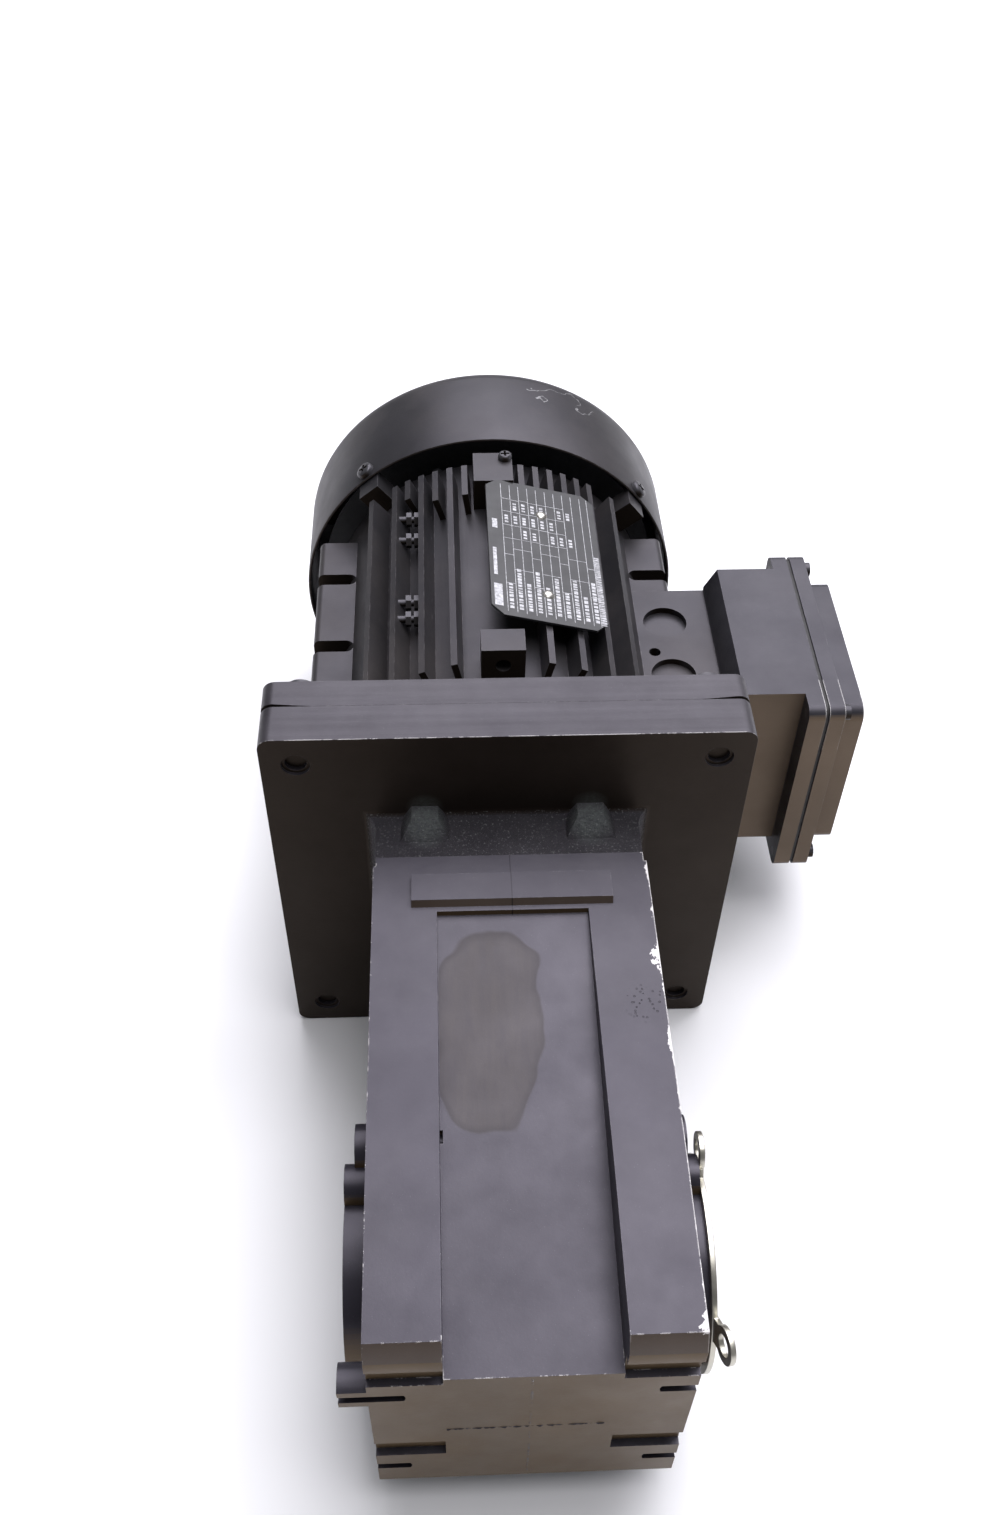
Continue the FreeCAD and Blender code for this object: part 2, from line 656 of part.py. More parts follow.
def cover_ring():
    face = amount(s["output_face"])
    along_x = FreeCAD.Vector(1, 0, 0)
    shape = Part.makeCylinder(RING_OUTSIDE, RING_THICK, FreeCAD.Vector(face, 0, 0), along_x)
    opening = Part.makeCylinder(RING_OPENING, RING_THICK + 2, FreeCAD.Vector(face - 1, 0, 0), along_x)
    for n in range(RING_LUGS):
        shape = shape.fuse(ring_lug(LUG_TURN + 360 * n / RING_LUGS, LUG_CRANK if n == 0 else 0))
    return plain(shape.cut(opening).removeSplitter())


part("cover_ring", cover_ring())

# ---------------------------------------------------------------- input flange with its neck

def plate_block(start, end):
    low, high = -s["plate_half"], s["plate_half"]
    return rounded(block((low, high), (start, end), (motor_z + low, motor_z + high)),
                   s["plate_corner"], runs_along("y"))


RIB_PLACE = 31.0
RIB_FOOT = 9.8
RIB_CREST = 4.9
RIB_RISE = 8.0
RIB_REACH = 13.0


def neck_rib(side):
    """A cast gusset on top of the neck: a truncated wedge, wide at the foot and narrow on top."""
    wedge = doc.addObject("Part::Wedge", "neck_rib")
    wedge.Xmin, wedge.Xmax, wedge.X2min, wedge.X2max = -RIB_FOOT, RIB_FOOT, -RIB_CREST, RIB_CREST
    wedge.Ymin, wedge.Ymax = 0, RIB_RISE
    wedge.Zmin, wedge.Zmax, wedge.Z2min, wedge.Z2max = 0, RIB_REACH, 0, RIB_REACH / 2
    turn = FreeCAD.Rotation(FreeCAD.Vector(1, 0, 0), 90)
    return place(wedge, (side * RIB_PLACE, s["plate_front"] + 0.5, s["neck_high"] - 1), turn)


PLATE_CORNERS = [(sx, sz) for sx in (-1, 1) for sz in (-1, 1)]
SINK_DEPTH = 1.2
SINK_MARGIN = 1.3
NECK_HEAD_SEAT = 148.0
NECK_HEAD_TOP = 156.0


def corner_line(sx, sz):
    return ("y", motor_z + s["plate_bolt"] * sz, s["plate_bolt"] * sx)


def is_neck_root(edge):
    """The corner where the neck meets the front of the plate."""
    box = edge.BoundBox
    front = amount(s["plate_front"])
    flat = abs(box.YMin - front) < 0.01 and abs(box.YMax - front) < 0.01
    return flat and max(abs(box.XMin), abs(box.XMax)) < amount(s["neck_half"]) + 0.1


def input_flange():
    neck = block((-s["neck_half"], s["neck_half"]), (s["housing_back"], s["plate_front"] + over),
                 (s["neck_low"], s["neck_high"]))
    plate_and_neck = fused([plate_block(s["plate_front"], s["plate_back"]), neck])
    casting = rounded(plate_and_neck, s["neck_fillet"], is_neck_root)
    solid = fused([casting, neck_rib(-1), neck_rib(1),
                   rod(MOTOR_AXIS, s["pinion_seat"], s["housing_back"] + over, s["rear_bore"])])
    tools = [rod(MOTOR_AXIS, s["pinion_seat"] - over, s["pinion_stop"], s["pinion_outside"]),
             rod(MOTOR_AXIS, s["pinion_stop"] - over, s["neck_bore_start"], s["input_seal_seat"]),
             rod(MOTOR_AXIS, s["neck_bore_start"] - 0.1, s["plate_back"] + over, s["neck_bore"]),
             rod(MOTOR_AXIS, s["plate_back"] - s["spigot_length"], s["plate_back"] + over,
                 s["flange_spigot"])]
    for sx, sz in PLATE_CORNERS:
        line = corner_line(sx, sz)
        tools.append(rod(line, s["plate_front"] - over, s["plate_back"] + over, s["bolt_radius"]))
        tools.append(rod(line, s["plate_front"] - over, s["plate_front"] + SINK_DEPTH,
                         s["bolt_radius"] + SINK_MARGIN))
    for x, z in NECK_SCREWS:
        line = ("y", motor_z + z, x)
        tools.append(rod(line, 100, s["plate_back"], s["bolt_radius"]))
        tools.append(rod(line, NECK_HEAD_SEAT, s["plate_back"] + over, s["bolt_radius"] * 1.6 + 0.4))
    return cut(solid, tools)


part("input_flange", input_flange())
part("neck_screws", group([socket_screw(("y", motor_z + z, x), NECK_HEAD_TOP, NECK_HEAD_SEAT,
                                        s["neck_thread"] + 1, s["bolt_radius"]) for x, z in NECK_SCREWS]))
lip = s["pinion_bore"] + s["running_gap"]
part("input_seal", turned(MOTOR_AXIS, [
    (s["input_seal_start"], lip + 2), (s["input_seal_start"] + 2, lip), (s["neck_bore_start"] - 2, lip),
    (s["neck_bore_start"], lip + 2), (s["neck_bore_start"], s["input_seal_seat"]),
    (s["input_seal_start"], s["input_seal_seat"])]))

# ---------------------------------------------------------------- motor, fixed pieces

SLIT_MOUTH = 1.8
SLIT_LENGTH = 19.0


def seam_slit(side):
    """The thin open wedge in the seam between the two plates, at one end of the plate."""
    edge = (s["plate_half"] + over) * side
    corners = [(edge, s["plate_back"] - 0.01), (edge, s["plate_back"] + SLIT_MOUTH),
               ((s["plate_half"] - SLIT_LENGTH) * side, s["plate_back"] - 0.01)]
    if side > 0:
        corners.reverse()
    return prism("z", corners, motor_z - s["plate_half"] - over, motor_z + s["plate_half"] + over)


def drive_end_flange():
    solid = fused([plate_block(s["plate_back"], s["flange_back"]),
                   rod(MOTOR_AXIS, s["plate_back"] - s["spigot_length"], s["plate_back"] + over,
                       s["flange_spigot"]),
                   rod(MOTOR_AXIS, s["flange_back"] - over, s["flange_back"] + 5, s["barrel_inside"]),
                   rod(MOTOR_AXIS, s["flange_back"], s["front_stop"] + s["motor_width"] + over,
                       s["front_hub"])])
    tools = [rod(MOTOR_AXIS, s["front_stop"], s["flange_back"] + 20, s["motor_outside"]),
             rod(MOTOR_AXIS, s["plate_back"] - 5, s["front_stop"] + over, s["motor_outside"] - 4),
             seam_slit(-1), seam_slit(1)]
    tools += [rod(corner_line(sx, sz), s["plate_back"] - over, s["flange_back"] + over, s["bolt_radius"])
              for sx, sz in PLATE_CORNERS]
    return cut(solid, tools)


part("drive_end_flange", drive_end_flange())
part("flange_bolts", group([socket_screw(corner_line(sx, sz), s["flange_back"] + 8, s["flange_back"],
                                         s["plate_front"] + 3, s["bolt_radius"])
                            for sx, sz in PLATE_CORNERS]))

FIN_ANGLES = (13.0, 22.0, 31.0, 40.0)
SHORT_FINS = {8.5: 297.0, 17.5: 297.0, 26.5: 304.5}
LEDGE_SLOTS = (250.0, 294.0)
SLOT_WIDTH = 7.0
SLOT_DEPTH = 9.0
SLOT_INNER = 65.0
LEDGE_ROUND = 3.0
SADDLE_LEAD = 6.0
SHIELD_SCREW_ANGLES = (20, -20, 160, 200)
SHIELD_SCREW_RADIUS = 70.5


def about_motor(thing, angle, point):
    """Turn a piece drawn about +Z of the motor by an angle from the vertical, towards +X."""
    turn = FreeCAD.Rotation(FreeCAD.Vector(0, 1, 0), angle)
    offset = turn.multVec(FreeCAD.Vector(point[0], 0, point[2]))
    thing.Placement = FreeCAD.Placement(FreeCAD.Vector(offset.x, point[1], amount(motor_z) + offset.z), turn)
    return thing


def fin(angle, front=None, reach=0.0):
    """A radial cooling fin on the barrel; front is its front end and reach an extra height."""
    front = s["fin_front"] if front is None else front
    box = doc.addObject("Part::Box", "fin")
    box.Length = amount(s["fin_thick"])
    bind(box, "Length", s["fin_thick"])
    box.Width = amount(s["fin_back"]) - amount(front)
    box.setExpression("Width", "%s - %s" % (words(s["fin_back"]), words(front)))
    bind(box, "Height", s["fin_tip"] - s["barrel_inside"] - 2 + reach)
    start = (-amount(s["fin_thick"]) / 2, amount(front), amount(s["barrel_inside"]) + 2)
    return about_motor(box, angle, start)


def side_ledge(side):
    """A solid flat-topped shoulder beside the barrel, for feet, with slots open to its outer face."""
    x_inner, x_outer = s["ledge_inner"], s["ledge_outer"]
    low = motor_z * 2 - s["ledge_top"]
    x_range = (x_inner, x_outer) if side > 0 else (-x_outer, -x_inner)
    shoulder = block(x_range, (s["ledge_front"], s["ledge_back"]), (low, s["ledge_top"]))
    shoulder = rounded(shoulder, LEDGE_ROUND, is_ledge_corner)
    bottom, top = s["ledge_top"] - SLOT_DEPTH, s["ledge_top"] + over
    tools = []
    for y in LEDGE_SLOTS:
        reach = (SLOT_INNER, x_outer + over) if side > 0 else (-x_outer - over, -SLOT_INNER)
        tools.append(block(reach, (y - SLOT_WIDTH / 2, y + SLOT_WIDTH / 2), (bottom, top)))
        tools.append(rod(("z", SLOT_INNER * side, y), bottom, top, SLOT_WIDTH / 2))
    if side > 0:
        tools.append(block((s["adaptor_left"], x_outer + over),
                           (s["box_front"] - SADDLE_LEAD, s["box_back"]),
                           (s["adaptor_low"], s["ledge_top"] + over)))
    return cut(shoulder, tools)


def is_ledge_corner(edge):
    return runs_along("y")(edge) and abs(edge.BoundBox.XMin) > amount(s["ledge_inner"]) + 6


PAD_HALF = 8.5
FRONT_PAD = (193, 205)
REAR_PAD = (300, 320)
POST_RADIUS = 4.0
POST_LENGTH = 14.0
THREAD_RADIUS = 1.5


def top_pad(start, end):
    return block((-PAD_HALF, PAD_HALF), (start, end),
                 (motor_z + s["barrel_inside"] + 2, motor_z + s["cowl_radius"]))


PLATE_TILT = 14.4
PLATE_TILT_RAD = math.radians(PLATE_TILT)
PLATE_MIDDLE = (19.3, 256.3, 104.0)
PLATE_SIZE = (48.0, 87.0, 1.0)
PLATE_SCREWS = (-27.0, 24.0)


def plate_line(along):
    """Where a nameplate screw's axis meets the plate's underside."""
    return FreeCAD.Vector(PLATE_MIDDLE[0], PLATE_MIDDLE[1] + along, PLATE_MIDDLE[2])


def stator_housing():
    pieces = [rod(MOTOR_AXIS, s["flange_back"], s["frame_back"], s["barrel_outside"])]
    for angle in FIN_ANGLES:
        for turn in (angle, -angle, 180 - angle, 180 + angle):
            pieces.append(fin(turn))
    pieces.append(fin(180))
    for angle, front in SHORT_FINS.items():
        pieces += [fin(angle, front), fin(-angle, front)]
    pieces += [side_ledge(-1), side_ledge(1), top_pad(*FRONT_PAD), top_pad(*REAR_PAD)]
    normal = FreeCAD.Rotation(FreeCAD.Vector(0, 1, 0), PLATE_TILT)
    for along in PLATE_SCREWS:
        post = doc.addObject("Part::Cylinder", "nameplate_post")
        post.Radius = POST_RADIUS
        post.Height = POST_LENGTH
        foot = plate_line(along) - normal.multVec(FreeCAD.Vector(0, 0, POST_LENGTH))
        post.Placement = FreeCAD.Placement(foot, normal)
        pieces.append(post)
    tools = [rod(MOTOR_AXIS, s["flange_back"] - over, s["frame_back"] + over, s["barrel_inside"])]
    for angle in SHIELD_SCREW_ANGLES:
        tools.append(rod(shield_screw_line(angle), s["frame_back"] - 12, s["frame_back"] + over,
                         THREAD_RADIUS))
    for y in FRAME_STUDS:
        tools.append(rod(("x", y, STUD_HIGH), -STUD_SPAN[1] - 4, -STUD_SPAN[0] + 4, THREAD_RADIUS))
    tools.append(rod(("z", PAD_SCREW[0], PAD_SCREW[1]), 96, motor_z + s["cowl_radius"] + over,
                     THREAD_RADIUS))
    front_hole = rod(("y", motor_z + 80, 0), 190, 201, 3)
    for along in PLATE_SCREWS:
        hole = doc.addObject("Part::Cylinder", "nameplate_hole")
        hole.Radius = THREAD_RADIUS
        hole.Height = 8
        foot = plate_line(along) - normal.multVec(FreeCAD.Vector(0, 0, 7))
        hole.Placement = FreeCAD.Placement(foot, normal)
        tools.append(hole)
    return cut(fused(pieces), tools + [front_hole])


def shield_screw_line(angle):
    radians = math.radians(angle)
    return ("y", motor_z + SHIELD_SCREW_RADIUS * math.cos(radians), SHIELD_SCREW_RADIUS * math.sin(radians))


# Four short studs across the space between two fins on the left, and one screw on the rear top pad.
FRAME_STUDS = (232.3, 242.3, 282.8, 297.3)
STUD_HIGH = 90.5
STUD_SPAN = (31.2, 38.0)
NUT_HIGH = 2.2
HEAD_HIGH = 3.4
HEXAGON_RADIUS = 3.2
PAD_SCREW = (5.5, 316.0)


def frame_stud(y):
    """A stud through two fins, with a nut against one and a longer hexagon head against the other."""
    left, right = -STUD_SPAN[1], -STUD_SPAN[0]
    line = ("x", y, STUD_HIGH)
    return fused([rod(line, left - 4, right + 4, THREAD_RADIUS), hexagon(y, left, left + NUT_HIGH),
                  hexagon(y, right - HEAD_HIGH, right)])


def hexagon(y, start, end):
    prism_shape = doc.addObject("Part::Prism", "hexagon")
    prism_shape.Polygon = 6
    prism_shape.Circumradius = HEXAGON_RADIUS
    prism_shape.Height = end - start
    return place(prism_shape, (start, y, STUD_HIGH), ALONG["x"])


part("stator_housing", stator_housing())
part("stator_core", tube(MOTOR_AXIS, s["core_front"], s["core_back"], s["core_bore"], s["barrel_inside"]))


def coil_end(low, high):
    return tube(MOTOR_AXIS, low, high, s["core_bore"] + 3, s["core_bore"] + s["coil_reach"])


part("stator_winding", group([coil_end(s["core_front"] - 12, s["core_front"]),
                              coil_end(s["core_back"], s["core_back"] + 13)]))


LUG_ACROSS = 11.0
LUG_START = 68.0
LUG_GAP = 0.3


def rear_end_shield():
    pieces = [rod(MOTOR_AXIS, s["frame_back"], s["shield_back"], s["barrel_outside"]),
              rod(MOTOR_AXIS, s["rear_stop"] - 3, s["shield_back"] + 4, s["front_hub"])]
    for angle in COWL_SCREWS:
        lug = doc.addObject("Part::Box", "cowl_lug")
        lug.Length = LUG_ACROSS
        lug.Width = amount(s["shield_back"]) - amount(s["frame_back"])
        lug.Height = amount(s["cowl_radius"]) - amount(s["cowl_wall"]) - LUG_START - LUG_GAP
        pieces.append(about_motor(lug, angle, (-LUG_ACROSS / 2, amount(s["frame_back"]), LUG_START)))
    tools = [rod(MOTOR_AXIS, s["rear_stop"], s["rear_stop"] + s["motor_width"], s["motor_outside"]),
             rod(MOTOR_AXIS, s["rear_stop"] - 5, s["shield_back"] + 10, s["motor_bore"] + 2.5),
             rod(MOTOR_AXIS, s["rear_stop"] - 5, s["rear_stop"] + over, s["motor_outside"])]
    for angle in SHIELD_SCREW_ANGLES:
        tools.append(rod(shield_screw_line(angle), s["frame_back"] - over, s["shield_back"] + over,
                         THREAD_RADIUS))
    for angle in COWL_SCREWS:
        tools.append(cowl_screw_rod(angle, 74, 90, COWL_HOLE))
    return cut(fused(pieces), tools)


COWL_SCREWS = (-40.0, 51.0, 130.0, 225.0)
COWL_SCREW_Y = 335.5
COWL_HOLE = 2.5
COWL_SHANK = 2.4
COWL_HEAD = 4.2


def cowl_screw_rod(angle, start, end, radius):
    cylinder = doc.addObject("Part::Cylinder", "cowl_screw")
    cylinder.Radius = radius
    cylinder.Height = end - start
    return about_motor(cylinder, angle, (0, COWL_SCREW_Y, start))


part("rear_end_shield", rear_end_shield())


GRILLE_RINGS = 6
GRILLE_START = 16.0
GRILLE_STEP = 9.0
GRILLE_SLOT = 5.5
SPOKE_WIDTH = 5.0
SPOKE_LENGTH = 150.0


def fan_cowl():
    outer = rounded(rod(MOTOR_AXIS, s["cowl_front"], s["cowl_back"], s["cowl_radius"]), s["cowl_round"],
                    is_back_rim)
    inner = rounded(rod(MOTOR_AXIS, s["cowl_front"] - over, s["cowl_back"] - s["cowl_wall"],
                        s["cowl_radius"] - s["cowl_wall"]), s["cowl_round"] - s["cowl_wall"], is_back_rim)
    rings = []
    for n in range(GRILLE_RINGS):
        radius = GRILLE_START + n * GRILLE_STEP
        rings.append(tube(MOTOR_AXIS, s["cowl_back"] - 5, s["cowl_back"] + 3, radius, radius + GRILLE_SLOT))
    spokes = [about_motor(spoke_box(), angle, (-SPOKE_WIDTH / 2, 380, -SPOKE_LENGTH / 2))
              for angle in (0, 45, 90, 135)]
    grille = cut(fused(rings), spokes)
    holes = [cowl_screw_rod(angle, 84, 92, COWL_HOLE) for angle in COWL_SCREWS]
    return cut(outer, [inner, grille] + holes)


def is_back_rim(edge):
    return edge.Curve.TypeId == "Part::GeomCircle" and edge.Curve.Center.y > amount(s["cowl_front"]) + 50


def spoke_box():
    box = doc.addObject("Part::Box", "grille_spoke")
    box.Length = SPOKE_WIDTH
    box.Width = 20
    box.Height = SPOKE_LENGTH
    return box


part("fan_cowl", fan_cowl())


def cowl_screw(angle):
    sheet_top = amount(s["cowl_radius"])
    head = cowl_screw_rod(angle, sheet_top + 0.02, sheet_top + 2.6, COWL_HEAD)
    shank = cowl_screw_rod(angle, 76, sheet_top + over, COWL_SHANK)
    recess = cowl_screw_rod(angle, sheet_top + over, sheet_top + 7, 1.3)
    return cut(fused([head, shank]), [recess])


def pad_screw():
    """A pan head screw standing in the rear top pad, beside the cowl's rim."""
    top = motor_z + s["cowl_radius"]
    line = ("z", PAD_SCREW[0], PAD_SCREW[1])
    return fused([rod(line, 98, top + over, THREAD_RADIUS), rod(line, top, top + 2.6, 3.0)])


part("cowl_screws", group([cowl_screw(angle) for angle in COWL_SCREWS] + [pad_screw()]))


def shield_screw(angle):
    line = shield_screw_line(angle)
    return fused([rod(line, s["frame_back"] - 10, s["shield_back"] + over, THREAD_RADIUS),
                  rod(line, s["shield_back"], s["shield_back"] + 3, 2.4)])


part("shield_screws", group([shield_screw(angle) for angle in SHIELD_SCREW_ANGLES]))
part("frame_studs", group([frame_stud(y) for y in FRAME_STUDS]))

# nameplate: a blank plate with cut corners

def nameplate_shape():
    length, width, thick = PLATE_SIZE
    nip = 5.0
    x, y = length / 2, width / 2
    corners = [(-x + nip, -y), (x - nip, -y), (x, -y + nip), (x, y - nip), (x - nip, y), (-x + nip, y),
               (-x, y - nip), (-x, -y + nip)]
    points = [FreeCAD.Vector(u, v, 0) for u, v in corners]
    shape = Part.Face(Part.makePolygon(points + [points[0]])).extrude(FreeCAD.Vector(0, 0, thick))
    for along in PLATE_SCREWS:
        shape = shape.cut(Part.makeCylinder(THREAD_RADIUS, 3, FreeCAD.Vector(0, along, -1)))
    return shape


plate_turn = FreeCAD.Rotation(FreeCAD.Vector(0, 1, 0), PLATE_TILT)
nameplate = plain(nameplate_shape())
nameplate.Placement = FreeCAD.Placement(FreeCAD.Vector(*PLATE_MIDDLE), plate_turn)
part("nameplate", nameplate)


def nameplate_screw(along):
    shank = Part.makeCylinder(THREAD_RADIUS, 6, FreeCAD.Vector(0, 0, -5))
    head = Part.makeSphere(3.2, FreeCAD.Vector(0, 0, -0.9)).common(
        Part.makeBox(10, 10, 5, FreeCAD.Vector(-5, -5, 1.0)))
    screw = plain(shank.fuse(head))
    screw.Placement = FreeCAD.Placement(plate_line(along), plate_turn)
    return screw


part("nameplate_screws", group([nameplate_screw(along) for along in PLATE_SCREWS]))

# ---------------------------------------------------------------- terminal box on the right side

box_wall = s["box_wall"]
rim_left = s["box_right"] - s["rim_thick"]
KNOCKOUTS = [(74.4, 262), (74.4, 229)]
KNOCKOUT_RADIUS = 9.5
KNOCKOUT_DEPTH = 3.0
ADAPTOR_THREAD = (67.9, 243)


def box_adaptor():
    """The cast saddle between the motor frame and the terminal box, with blind knock-outs on top."""
    top = s["ledge_top"]
    saddle = block((s["adaptor_left"], s["box_left"]), (s["box_front"] - SADDLE_LEAD, s["box_back"]),
                   (s["adaptor_low"], top))
    tools = [rod(MOTOR_AXIS, s["flange_back"], s["cowl_front"], s["barrel_outside"])]
    tools += [rod(("z", x, y), top - KNOCKOUT_DEPTH, top + over, KNOCKOUT_RADIUS) for x, y in KNOCKOUTS]
    tools.append(rod(("z",) + ADAPTOR_THREAD, top - 8, top + over, 2.5))
    return cut(saddle, tools)


SHOULDER_DROP = 10.0
SHOULDER_RUN = 5.0
GLAND_HOLE = 10.0
WIRE_HOLE = 8.0
LID_HOLE = 2.0
GASKET_THICK = 1.5
BOX_CORNER = 5.0


def box_shoulder(grow):
    """The box's outline across Y: its upper left edge slopes down to the saddle; grow insets it."""
    left, right = s["box_left"] + grow, s["box_right"] + over * (grow > 0)
    low, high = s["box_low"] + grow, s["box_high"] - grow
    return prism("y", [(low, left), (high - SHOULDER_DROP, left), (high, left + SHOULDER_RUN), (high, right),
                       (low, right)],
                 s["box_front"] + grow, s["box_back"] - grow)


def terminal_box():
    rim = rounded(block((rim_left, s["box_right"]), (s["lid_front"], s["lid_back"]),
                        (s["lid_low"], s["lid_high"])), BOX_CORNER, runs_along("x"))
    tools = [box_shoulder(amount(box_wall))]
    tools += [rod(("z", GLAND_X, y), s["box_low"] - over, s["box_low"] + 4, GLAND_HOLE) for y in GLAND_ROWS]
    tools += [rod(("x", y, z), rim_left - over, s["box_right"] + over, LID_HOLE) for y, z in LID_SCREWS]
    tools.append(rod(("x", 243, 25), s["box_left"] - over, s["box_left"] + 4, WIRE_HOLE))
    return cut(fused([box_shoulder(0), rim]), tools)


GLAND_X = 110.0
GLAND_ROWS = (224, 262)
LID_SCREWS = [(y, z) for y in (198.5, 288.5) for z in (-22.5, 66.5)]


def lid_outline(low, high, edge):
    return block((low, high), (s["lid_front"] + edge, s["lid_back"] - edge), (s["lid_low"] + edge,
                                                                              s["lid_high"] - edge))


def terminal_box_gasket():
    low, high = s["box_right"], s["box_right"] + GASKET_THICK
    tools = [block((low - over, high + over), (s["box_front"] + 4, s["box_back"] - 4),
                   (s["box_low"] + 4, s["box_high"] - 4))]
    tools += [rod(("x", y, z), low - over, high + over, LID_HOLE) for y, z in LID_SCREWS]
    return cut(rounded(lid_outline(low, high, 0.8), BOX_CORNER, runs_along("x")), tools)


def terminal_box_lid():
    low = s["box_right"] + GASKET_THICK
    brim = rounded(lid_outline(low, low + s["lid_flange"], 0), BOX_CORNER, runs_along("x"))
    crown = rounded(lid_outline(low, s["lid_right"], s["lid_crown"]), 6, runs_along("x"))
    inside = lid_outline(low - over, s["lid_right"] - 3, s["lid_crown"] + 3)
    tools = [inside] + [rod(("x", y, z), low - over, s["lid_right"] + over, LID_HOLE) for y, z in LID_SCREWS]
    return cut(fused([brim, crown]), tools)


part("box_adaptor", box_adaptor())
part("terminal_box", terminal_box())
part("terminal_box_gasket", terminal_box_gasket())
part("terminal_box_lid", terminal_box_lid())
lid_top = s["box_right"] + GASKET_THICK + s["lid_flange"]
part("lid_screws", group([socket_screw(("x", y, z), lid_top + 3, lid_top, rim_left, size["lid_screw"])
                          for y, z in LID_SCREWS]))


def blanking_plug(y):
    """A screwed plug in a cable entry in the underside of the box, with a hexagon-sized head."""
    return fused([rod(("z", GLAND_X, y), s["box_low"] - 4, s["box_low"], 12.5),
                  rod(("z", GLAND_X, y), s["box_low"], s["box_low"] + 6, GLAND_HOLE)])


part("blanking_plugs", group([blanking_plug(y) for y in GLAND_ROWS]))
board_left = s["box_left"] + box_wall
part("terminal_board", block((board_left, board_left + 8), (214, 272), (10, 58)))
stud_places = [(y, z) for y in (224, 243, 262) for z in (22, 46)]
part("terminal_studs", group([
    fused([rod(("x", y, z), board_left + 8, board_left + 20, 2.0),
           rod(("x", y, z), board_left + 8, board_left + 12, 4.0)]) for y, z in stud_places]))
earth_screw = fused([rod(("x", 243, -6), board_left, board_left + 6, 2.5),
                     rod(("x", 243, -6), board_left, board_left + 2, 5.0)])
box_screw_heads = [rod(("x", y, -9), board_left, board_left + 3, 4.0) for y in (218, 268)]
part("box_screws", group(box_screw_heads + [earth_screw]))

# ---------------------------------------------------------------- output shaft set

GEAR_KEY = (-3, 3)
KEY_BOTTOM = -23.0


def hollow_shaft():
    face = s["output_face"]
    stock = rod(OUTPUT_AXIS, -face, face, s["output_bore"])
    tools = [rod(OUTPUT_AXIS, -face - over, face + over, s["bore_radius"]),
             block((-face - over, face + over), (-s["key_half"], s["key_half"]), (0, s["key_high"])),
             block((s["gear_left"], s["gear_right"]), GEAR_KEY,
                   (-s["output_bore"] - over, GEAR_KEY[1] - s["output_bore"]))]
    return cut(stock, tools)


part("hollow_shaft", hollow_shaft())

mesh_direction = math.atan2(MOTOR_DROP, amount(s["counter_y"]))
gear_left, gear_right = amount(s["gear_left"]), amount(s["gear_right"])
SPUR_BACKLASH = 0.16
BEVEL_BACKLASH = 0.28


def output_gear():
    solid = spur_gear(OUTPUT_GEAR_TEETH, gear_left, gear_right, OUTPUT_AXIS, mesh_direction, SPUR_BACKLASH)
    bore = rod(OUTPUT_AXIS, gear_left - over, gear_right + over, s["output_bore"])
    keyway = block((gear_left - over, gear_right + over), GEAR_KEY, (KEY_BOTTOM, 0))
    dishes = [tube(OUTPUT_AXIS, gear_left - over, gear_left + 2, 25, 32),
              tube(OUTPUT_AXIS, gear_right - 2, gear_right + over, 25, 32)]
    return cut(plain(solid), [bore, keyway] + dishes)


part("output_gear", output_gear())
part("output_key", block((s["gear_left"], s["gear_right"]), GEAR_KEY,
                         (KEY_BOTTOM, GEAR_KEY[1] - s["output_bore"])))
part("output_spacers", group([
    tube(OUTPUT_AXIS, -s["cavity_half"], s["gear_left"], s["output_bore"], s["output_bore"] + 1.6),
    tube(OUTPUT_AXIS, s["gear_right"], s["cavity_half"], s["output_bore"], s["output_bore"] + 1.6)]))

# ---------------------------------------------------------------- counter shaft set

WHEEL_FACE = 11.0
WHEEL_SHIFT = -0.3


def counter_shaft():
    end = s["cavity_half"] + s["counter_width"]
    core = turned(COUNTER_AXIS, [
        (-end, 0), (end, 0), (end, s["counter_bore"]), (s["cavity_half"], s["counter_bore"]),
        (s["cavity_half"], s["counter_seat"]), (-s["cavity_half"], s["counter_seat"]),
        (-s["cavity_half"], s["counter_bore"]), (-end, s["counter_bore"])])
    gap = mesh_direction + math.pi + math.pi / COUNTER_PINION_TEETH
    teeth = spur_gear(COUNTER_PINION_TEETH, gear_left, gear_right, COUNTER_AXIS, gap, SPUR_BACKLASH)
    return fused([core, plain(teeth)])


def bevel_wheel():
    outer, inner = bevel_root(BEVEL_WHEEL_TEETH, BEVEL_PINION_TEETH, WHEEL_SHIFT, WHEEL_FACE)
    bore = amount(s["counter_seat"])
    back = amount(s["wheel_back"])
    hub = amount(s["wheel_hub"])
    blank = turned_shape([(inner[0], bore), (inner[0], inner[1]), outer, (outer[0] + 3, outer[1] - 1),
                          (outer[0] + 3, hub), (back, hub), (back, bore)])
    teeth = bevel_teeth(BEVEL_WHEEL_TEETH, BEVEL_PINION_TEETH, WHEEL_SHIFT, BEVEL_BACKLASH, WHEEL_FACE)
    wheel = plain(blank.multiFuse(teeth))
    turn = FreeCAD.Rotation(FreeCAD.Vector(0, 1, 0), FreeCAD.Vector(0, 0, -1),
                            FreeCAD.Vector(1, 0, 0), "ZXY")
    return place(wheel, (0, s["counter_y"], motor_z), turn)


part("counter_shaft", counter_shaft())
part("bevel_wheel", bevel_wheel())

# ---------------------------------------------------------------- rotor set

